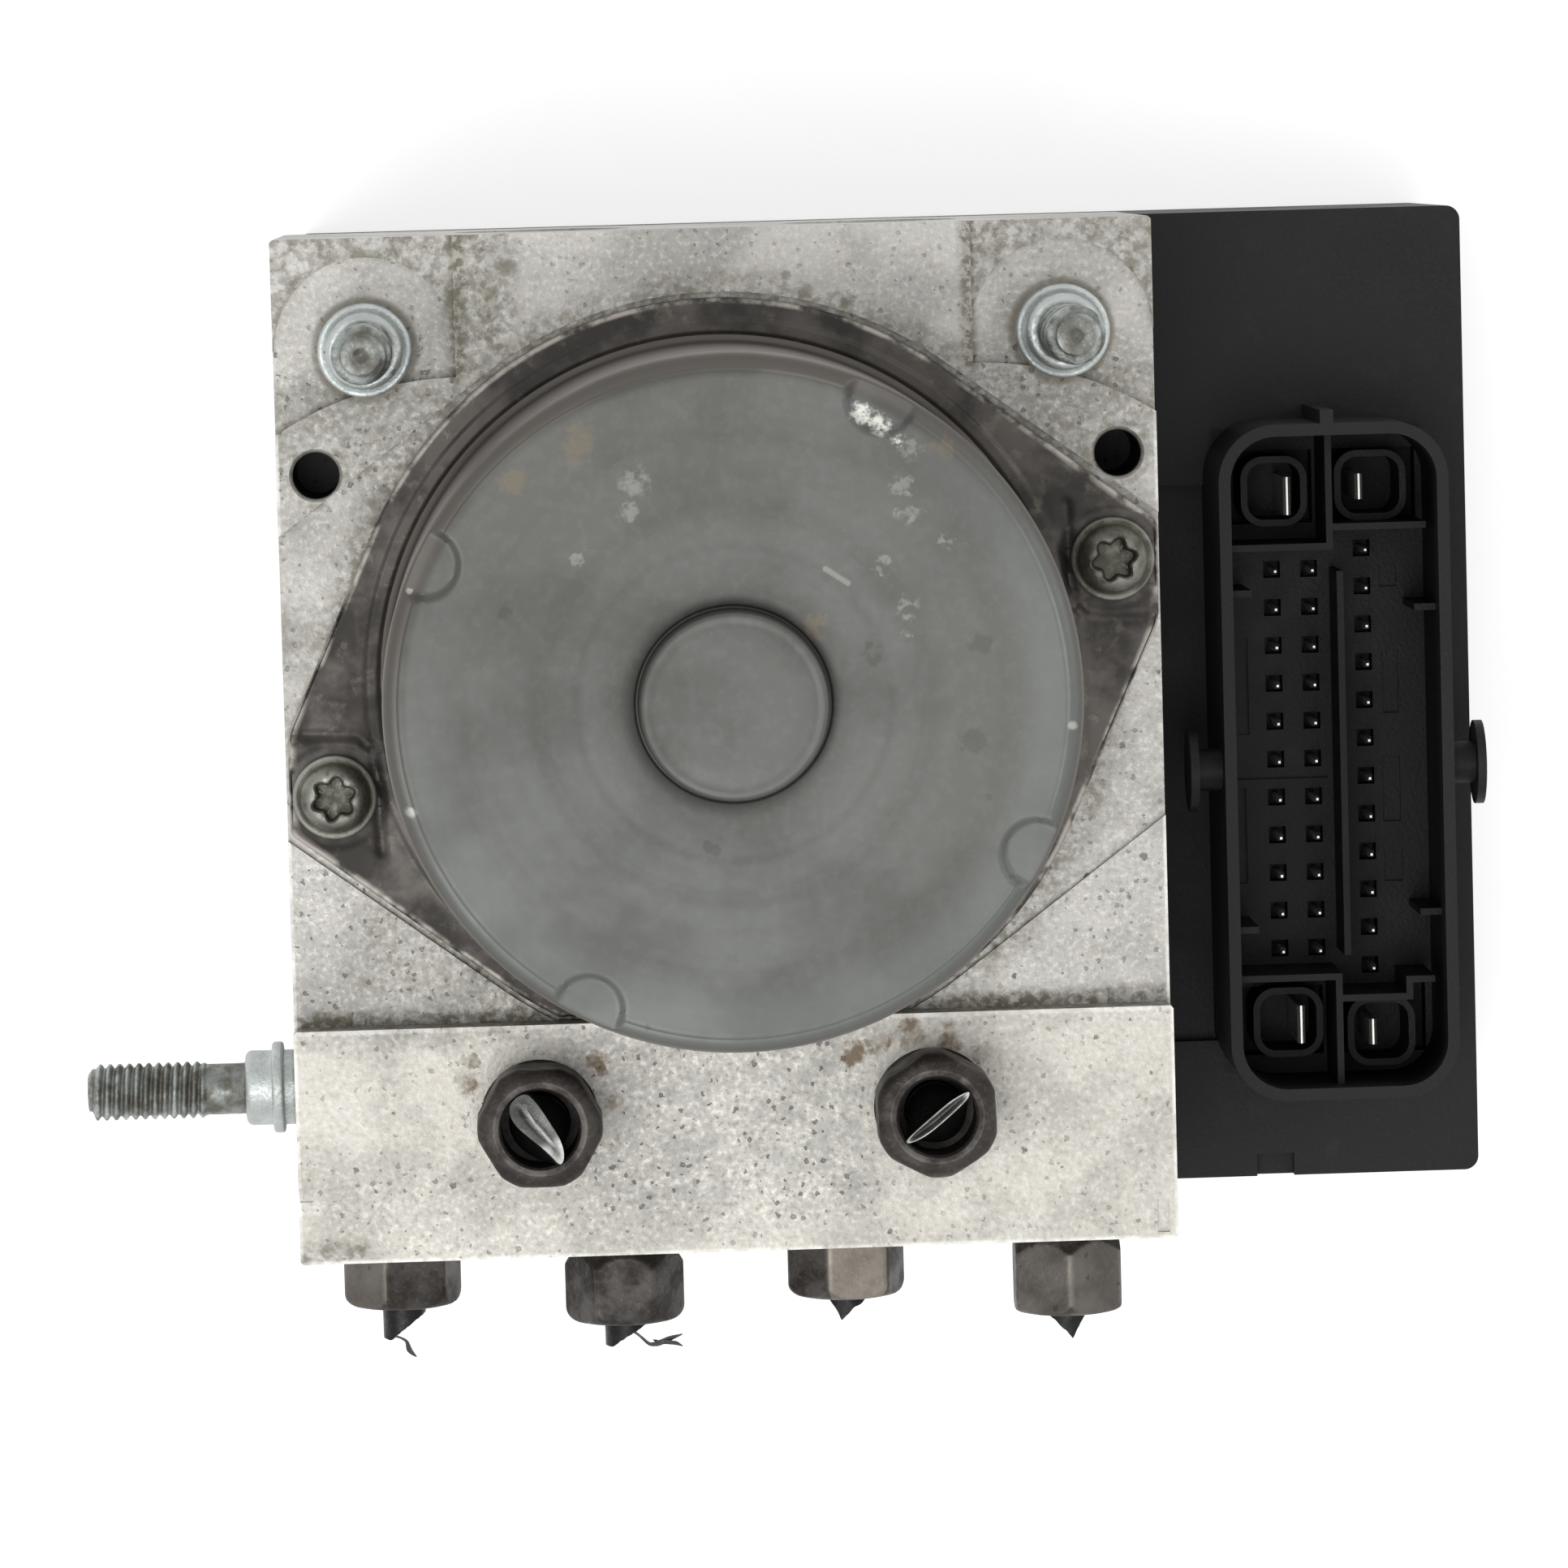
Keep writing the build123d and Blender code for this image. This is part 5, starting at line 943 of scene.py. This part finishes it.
nutSizes = {
    "wheelX": (-34.75, -11.6, 11.6, 34.75), "inletPlaces": ((-19.9, -43.9), (19.9, -43.9)),
    "wheel": {"flats": 11.0, "corner": 6.2, "thread": 4.97, "bore": 2.5, "mouth": None},
    "wheelEach": (
        {"height": 8.1, "neck": 0.6, "turned": 16, "wear": (-0.3, -0.45, 0.40)},
        {"height": 10.45, "neck": 2.9, "turned": 30, "wear": (-0.4, -0.5, -0.25)},
        {"height": 8.5, "neck": 0.6, "turned": 19, "wear": (-0.05, 1.0, -0.1)},
        {"height": 10.95, "neck": 2.9, "turned": 0, "wear": (-0.1, 0.30, 0.25)},
    ),
    "inlet": {
        "flats": 11.8, "corner": 6.3, "thread": 5.97, "bore": 3.1, "mouth": 3.9, "height": 9.0, "neck": 1.6,
        "wear": (-0.2, -0.3, -0.25),
    },
    "inletTurns": (30, 2), "neckRadius": 4.9, "threadLength": 9.0, "mouthDepth": 5.6, "endRound": 1.5,
    "columns": 180,
}


def nutShell(kind, turn, move):
    # hexagon radius = half the flats / cos(a to the nearest flat), never past the corner radius; a low cone
    # cuts the end by the neck and a round one the outer end, which leaves a curved edge on each flat
    s = nutSizes
    half, corner, height, neck = kind["flats"] / 2, kind["corner"], kind["height"], kind["neck"]
    thread, bore, foot, endRound = kind["thread"], kind["bore"], -s["threadLength"], s["endRound"]
    fromCorner = around(s["columns"]) - math.radians(kind["turned"]) + math.pi / 6
    toFlat = fromCorner % (math.pi / 3) - math.pi / 6
    hexagon = np.minimum(half / np.cos(toFlat), corner)
    onCorner = smooth(0.44, 0.52, np.abs(toFlat))
    flat = np.array(kind["wear"])[(fromCorner // (math.pi / 3)).astype(int) % 3]
    rows = [
        (bore, foot, -0.8), (thread - 0.5, foot, -0.8), (thread, foot + 0.5, -0.8), (thread, -0.3, -0.8),
        (s["neckRadius"], -0.1, -0.8), (s["neckRadius"], neck - 0.15, -0.8),
    ]
    for step in np.concatenate([np.linspace(0, 0.28, 10), [0.4, 0.55, 0.7], np.linspace(0.78, 1, 12)]):
        z = neck + (height - neck) * step
        lowCone = half - 0.25 + (z - neck) * 0.62
        share = min((height - z) / endRound, 1.0)
        topCone = corner - endRound * (1 - math.sqrt(1 - (1 - share) ** 2))
        cut = np.minimum(np.minimum(hexagon, lowCone), topCone)
        onBevel = smooth(0.02, 0.25, hexagon - cut)
        wear = np.where(onBevel > 0, flat - 0.5 * onBevel, flat + onCorner * (0.35 - flat * 0.2))
        rows.append((cut, z, wear))
    wide, rim = kind["mouth"] or bore, corner - endRound
    rows += [
        (rim - 0.12, height, 0.15), ((wide + rim) / 2, height, -0.3), (wide + 0.25, height, -0.6),
        (wide, height - 0.25, -1.0),
    ]
    if kind["mouth"]:
        mouthFloor = height - s["mouthDepth"]
        rows += [(wide, mouthFloor, -1.0), (bore, mouthFloor - 0.1, -1.0)]
    rows.append((bore, 0.0, -1.0))
    return latheShell(rows, s["columns"], ring=True, turn=turn, move=move)


def makeNuts():
    s = nutSizes
    shells = []
    for x, each in zip(s["wheelX"], s["wheelEach"]):
        shells.append(nutShell({**s["wheel"], **each}, downY, (x, portFace, portHeight)))
    for place, turned in zip(s["inletPlaces"], s["inletTurns"]):
        shells.append(nutShell({**s["inlet"], "turned": turned}, None, (*place, ledgeTop)))
    return makePiece("tubeNuts", shells, nutMaterial, ["tube_nuts"], 24)


# cut-off pipes; a tear is (reach past the nut, where its tip is across, fall to its left, fall to its right)

pipeSizes = {
    "radius": 2.4, "wall": 0.7, "start": -8.5, "ragged": 0.10, "columns": 120, "firstSeed": 11,
    "tears": ((3.6, -1.6, 0.3, 3.4), (2.7, -1.7, 0.2, 2.9), (2.55, -0.75, 4.8, 3.0), (2.8, 0.4, 3.6, 5.4)),
}
crushedSizes = {
    "radius": 3.0, "halfWidth": 4.0, "foot": 76.0, "low": 89.0, "top": 94.45, "dip": 1.0, "columns": 96,
    "steps": 22, "firstSeed": 21,
    "each": (
        {"angle": -64.0, "twist": 30.0, "thick": 1.95, "taper": 0.68, "wiggle": 0.45, "cap": (0.20, 1.0),
         "slit": 0.0},
        {"angle": 36.0, "twist": 4.0, "thick": 0.55, "taper": 0.0, "wiggle": 0.10, "cap": (0.60, 0.95),
         "slit": 0.45},
    ),
}
curlSizes = {
    "thick": 0.07, "lean": 0.6, "steps": 28, "columns": 10,
    "each": (
        {"route": ((-36.1, -69.3), (-35.2, -69.55), (-34.5, -69.97), (-34.3, -70.9), (-33.95, -71.3),
                   (-33.5, -71.7)),
         "widths": (0.16, 0.12, 0.18, 0.32, 0.22, 0.04), "level": 59.2},
        {"route": ((-11.0, -69.5), (-10.2, -70.1), (-9.2, -71.1), (-8.3, -71.0), (-7.1, -70.5),
                   (-5.6, -70.05)),
         "widths": (0.16, 0.14, 0.20, 0.34, 0.30, 0.05), "level": 59.7},
        {"route": ((-8.3, -70.9), (-7.5, -70.85), (-6.4, -71.0), (-5.7, -71.35)),
         "widths": (0.2, 0.26, 0.24, 0.05), "level": 59.75},
        {"route": ((-8.0, -70.95), (-8.4, -70.75), (-8.85, -70.55)),
         "widths": (0.2, 0.16, 0.04), "level": 59.8},
    ),
}


def tornPipe(x, height, tear, seed):
    # a tube whose end follows the tear: its length falls from the tip to each side, with ragged noise on top
    s = pipeSizes
    reach, tip, left, right = tear
    radius, start, angle = s["radius"], s["start"], around(s["columns"])
    inner, side = radius - s["wall"], radius + 1.0
    across = radius * np.cos(angle)
    fallLeft, fallRight = left * (tip - across) / (tip + side), right * (across - tip) / (side - tip)
    fall = np.where(across < tip, fallLeft, fallRight)
    random, ragged = np.random.default_rng(seed), 0.0
    for k in range(1, 7):
        ragged = ragged + random.normal(0, s["ragged"] / k) * np.cos(k * 3 * angle + random.uniform(0, 6.28))
    end = height + reach - np.maximum(fall + np.abs(ragged) * smooth(0.0, 0.6, fall), 0.0) - 0.02
    pinch = 1 - 0.10 * smooth(height - 0.5, height + 2.5, end)
    rows = [(inner, start, 0), (radius, start, 0)]
    for t in np.linspace(0.55, 1, 9):
        rows.append((radius * (1 - (1 - pinch) * t), start + (end - start) * t, 0))
    rows += [
        ((radius - 0.35) * pinch, end, 0.06), ((radius - 0.6) * pinch, end - 0.25, 0),
        (inner * pinch, end - 1.2, 0),
    ]
    return latheShell(rows, s["columns"], ring=True, turn=downY, move=(x, portFace, portHeight))


def curlShell(route, widths, level):
    # a thin curl of torn metal: a flat section carried along a smoothed route in the plane of the ports
    s = curlSizes
    route = np.asarray(route, float)
    steps = np.linspace(0, len(route) - 1, s["steps"])
    line = np.stack([np.interp(steps, np.arange(len(route)), route[:, i]) for i in range(2)], axis=1)
    kernel = np.array([1, 2, 3, 2, 1]) / 9
    padded = np.vstack([line[:1], line[:1], line, line[-1:], line[-1:]])
    line = np.stack([np.convolve(padded[:, i], kernel, "valid") for i in range(2)], axis=1)
    ahead = np.gradient(line, axis=0)
    ahead /= np.linalg.norm(ahead, axis=1, keepdims=True)
    aside = np.stack([-ahead[:, 1], ahead[:, 0]], axis=1)
    turn = around(s["columns"])
    offset = np.interp(steps, np.arange(len(widths)), widths)[:, None] * np.cos(turn)
    lean = s["lean"] * np.sin(np.linspace(0, 2.6, s["steps"]))[:, None]
    grid = np.stack([
        line[:, 0:1] + aside[:, 0:1] * offset, line[:, 1:2] + aside[:, 1:2] * offset,
        level + s["thick"] * np.sin(turn) + lean * offset,
    ], axis=-1)
    return shellOf(grid, np.full(s["steps"], 0.10))


def crushedPipe(x, y, crush, seed):
    # round in the nut, pressed flat towards its end: half-width and half-thickness change smoothly with
    # height, the cut edge dips at its two ends, and the whole turns a little as it rises; a slit is left
    # between the walls
    s = crushedSizes
    radius, width, slit, angle = s["radius"], s["halfWidth"], crush["slit"], around(s["columns"])
    cosA, sinA = np.cos(angle), np.sin(angle)

    def column(values, atEnd):
        # a value for each row: those up the pipe, then those at its cut end
        return np.concatenate([values, atEnd])[:, None]

    t = column(np.linspace(0, 1, s["steps"]), [1.0, 1.0, 1.0])
    inset = column(np.ones(s["steps"]), [0.80, 0.50, 0.30])
    drop = column(np.zeros(s["steps"]), [0.02, slit * 0.6 + 0.10, slit + 0.15])
    squash = smooth(0.05, 0.95, t)
    half = radius + (width - radius) * squash
    random = np.random.default_rng(seed)
    wave = sum(random.normal(0, 0.05) * np.cos(k * angle + random.uniform(0, 6.28)) for k in range(2, 7))
    u = half * (1 - (1 - inset) * 0.35) * np.sign(cosA) * np.abs(cosA) ** (1 - 0.35 * squash)
    endThick = crush["thick"] * (1 - crush["taper"] * (u / width + 1) / 2)
    thick = radius + (endThick - radius) * squash
    v = thick * inset * (sinA + 0.5 * wave * squash) + crush["wiggle"] * squash * np.sin(u / 1.7)
    dip = s["dip"] * squash * (np.abs(u) / width) ** 2.2
    z = s["low"] + (s["top"] - s["low"]) * t - dip - drop + wave * squash * 0.5
    turned = math.radians(crush["angle"]) + math.radians(crush["twist"]) * (t - 1)
    px = x + u * np.cos(turned) - v * np.sin(turned)
    py = y + u * np.sin(turned) + v * np.cos(turned)
    low = np.stack([x + radius * cosA, y + radius * sinA, np.full(s["columns"], s["foot"])], axis=-1)
    grid = np.concatenate([low[None], np.stack([px, py, z], axis=-1)])
    dull, bright = crush["cap"]
    cap = dull + (bright - dull) * smooth(1.0, 2.2, u)
    edge = column(np.zeros(s["steps"] - 3), [0.05, 0.25, 1.0, 1.0, 0.7 - slit * 0.9, 0.6 - slit * 0.8])
    return shellOf(grid, np.concatenate([np.zeros((1, s["columns"])), edge * cap]))


def makePipes():
    n, shells = nutSizes, []
    for place, (x, each, tear) in enumerate(zip(n["wheelX"], n["wheelEach"], pipeSizes["tears"])):
        shells.append(tornPipe(x, each["height"], tear, pipeSizes["firstSeed"] + place))
    shells += [curlShell(**curl) for curl in curlSizes["each"]]
    for place, (spot, crush) in enumerate(zip(n["inletPlaces"], crushedSizes["each"])):
        shells.append(crushedPipe(*spot, crush, crushedSizes["firstSeed"] + place))
    return makePiece("pipeStubs", shells, pipeMaterial, ["pipe_stubs"], 34)


# inner springs; axis is 0 for X and 1 for Y, stroke is how far the moving end goes towards the held end

springSizes = {
    "pump": {"axis": 0, "joint": "stroke", "stroke": 2.0, "wire": 0.8, "turns": 4},
    "brush": {"axis": 0, "joint": "wear", "stroke": 3.0, "wire": 0.6, "turns": 5},
    "accumulator": {"axis": 1, "joint": "stroke", "stroke": 6.0, "wire": 1.4, "turns": 3},
}


def makeSpring(kind, hand):
    # a helix about the axis through the node's box: point = middle + radius (cos a, sin a), moving along as a
    # grows; the wire's round section is carried along it
    s = springSizes[kind]
    node = f"{kind}_spring_{hand}"
    low, high = (np.array(corner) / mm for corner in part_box(node))
    along, aside, upright = np.roll(np.eye(3), -s["axis"], axis=0)
    half, middle = s["wire"] / 2, (low + high) / 2
    span = high[s["axis"]] - low[s["axis"]]
    radius = (high - low) @ aside / 2 - half
    t = np.linspace(0, 1, s["turns"] * 30 + 1)[:, None]
    angle = 2 * np.pi * s["turns"] * t
    outward = np.cos(angle) * aside + np.sin(angle) * upright
    line = middle + (t - 0.5) * (span - s["wire"]) * along + radius * outward
    ring = around(12)[None, :, None]
    grid = line[:, None] + half * (np.cos(ring) * outward[:, None] + np.sin(ring) * along)
    name = f"{kind}Spring{hand.title()}"
    piece = makePiece(name, [shellOf(grid)], plain["springSteel"], [node])
    held = middle * mm
    held[s["axis"]] = (low if kind != "accumulator" and hand == "left" else high)[s["axis"]] * mm
    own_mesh(piece)


makeMotorCan()
makeMotorFlange()
makeMotorScrews()
makeStuds()
makeNuts()
makePipes()
for springKind in springSizes:
    for springHand in ("left", "right"):
        makeSpring(springKind, springHand)

# every carried-over node takes the finish of its slot, or its own
for name, piece in parts.items():
    finish = nodeFinish.get(name) or slotFinish[slotOf[name]]
    if piece.material_slots:
        for held in piece.material_slots:
            held.material = finish
    else:
        piece.data.materials.append(finish)
print("finishes set on", len(parts), "nodes")


# floor, light and camera; metres

stageSizes = {"floorHalf": 6.0, "floorZ": -0.0005, "floorShade": 0.80, "floorLift": 0.55, "worldLevel": 0.52}
lamps = (
    {"name": "overhead", "place": (-0.30, -0.35, 1.40), "size": 0.9, "power": 9.0},
    {"name": "side", "place": (0.9, 0.35, 0.9), "size": 0.7, "power": 2.0},
)
lampTarget = (0, 0, 0.06)
cameraSizes = {
    "place": (-0.018805, 0.054582, 0.869914), "target": (0.00583, -0.01108, 0.080),
    "level": (1.0, -0.0303, 0.0), "lens": 179.7, "sensor": 36.0, "farEnd": 20.0,
}


def seenBy(tree):
    # 1 where the camera sees a surface, straight, by reflection or through glass; 0 for its light on the part
    rays = tree.nodes.new("ShaderNodeLightPath").outputs
    return larger(rays["Is Camera Ray"], larger(rays["Is Glossy Ray"], rays["Is Transmission Ray"]))


def makeFloor():
    half = stageSizes["floorHalf"]
    mesh = bpy.data.meshes.new("floor")
    corners = [(-half, -half), (half, -half), (half, half), (-half, half)]
    mesh.from_pydata([(*corner, stageSizes["floorZ"]) for corner in corners], [], [(0, 1, 2, 3)])
    floor = bpy.data.objects.new("floor", mesh)
    bpy.context.scene.collection.objects.link(floor)
    material = bpy.data.materials.new("paperFloor")
    material.use_nodes = True
    tree = material.node_tree
    tree.nodes.clear()
    finish = tree.nodes.new("ShaderNodeOutputMaterial")
    paper = addNode(tree, "ShaderNodeBsdfDiffuse", {"Color": colour(*[stageSizes["floorShade"]] * 3)})
    lift = addNode(tree, "ShaderNodeEmission", {"Strength": times(seenBy(tree), stageSizes["floorLift"])})
    both = addNode(tree, "ShaderNodeAddShader", {0: paper.outputs[0], 1: lift.outputs[0]})
    tree.links.new(both.outputs[0], finish.inputs["Surface"])
    mesh.materials.append(material)


def makeWorld():
    world = bpy.data.worlds.new("studio")
    bpy.context.scene.world = world
    world.use_nodes = True
    tree = world.node_tree
    tree.nodes.clear()
    finish = tree.nodes.new("ShaderNodeOutputWorld")
    level = timesPlus(seenBy(tree), 1.0 - stageSizes["worldLevel"], stageSizes["worldLevel"])
    sky = addNode(tree, "ShaderNodeBackground", {"Color": colour(1, 1, 1), "Strength": level})
    tree.links.new(sky.outputs[0], finish.inputs["Surface"])


def makeLamps():
    for lamp in lamps:
        light = bpy.data.lights.new(lamp["name"], "AREA")
        light.size = lamp["size"]
        light.energy = lamp["power"]
        holder = bpy.data.objects.new(lamp["name"], light)
        bpy.context.scene.collection.objects.link(holder)
        place = Vector(lamp["place"])
        holder.location = place
        holder.rotation_euler = (place - Vector(lampTarget)).to_track_quat("Z", "Y").to_euler()


def makeCamera():
    c = cameraSizes
    data = bpy.data.cameras.new("camera")
    data.lens, data.sensor_width, data.clip_end = c["lens"], c["sensor"], c["farEnd"]
    camera = bpy.data.objects.new("camera", data)
    bpy.context.scene.collection.objects.link(camera)
    back = (Vector(c["place"]) - Vector(c["target"])).normalized()
    level = Vector(c["level"])
    right = (level - back * level.dot(back)).normalized()
    turned = Matrix((right, back.cross(right), back)).transposed().to_4x4()
    camera.matrix_world = Matrix.Translation(Vector(c["place"])) @ turned
    bpy.context.scene.camera = camera


makeFloor()
makeWorld()
makeLamps()
makeCamera()
bpy.context.scene.view_settings.view_transform = "Standard"
print("stage ready")
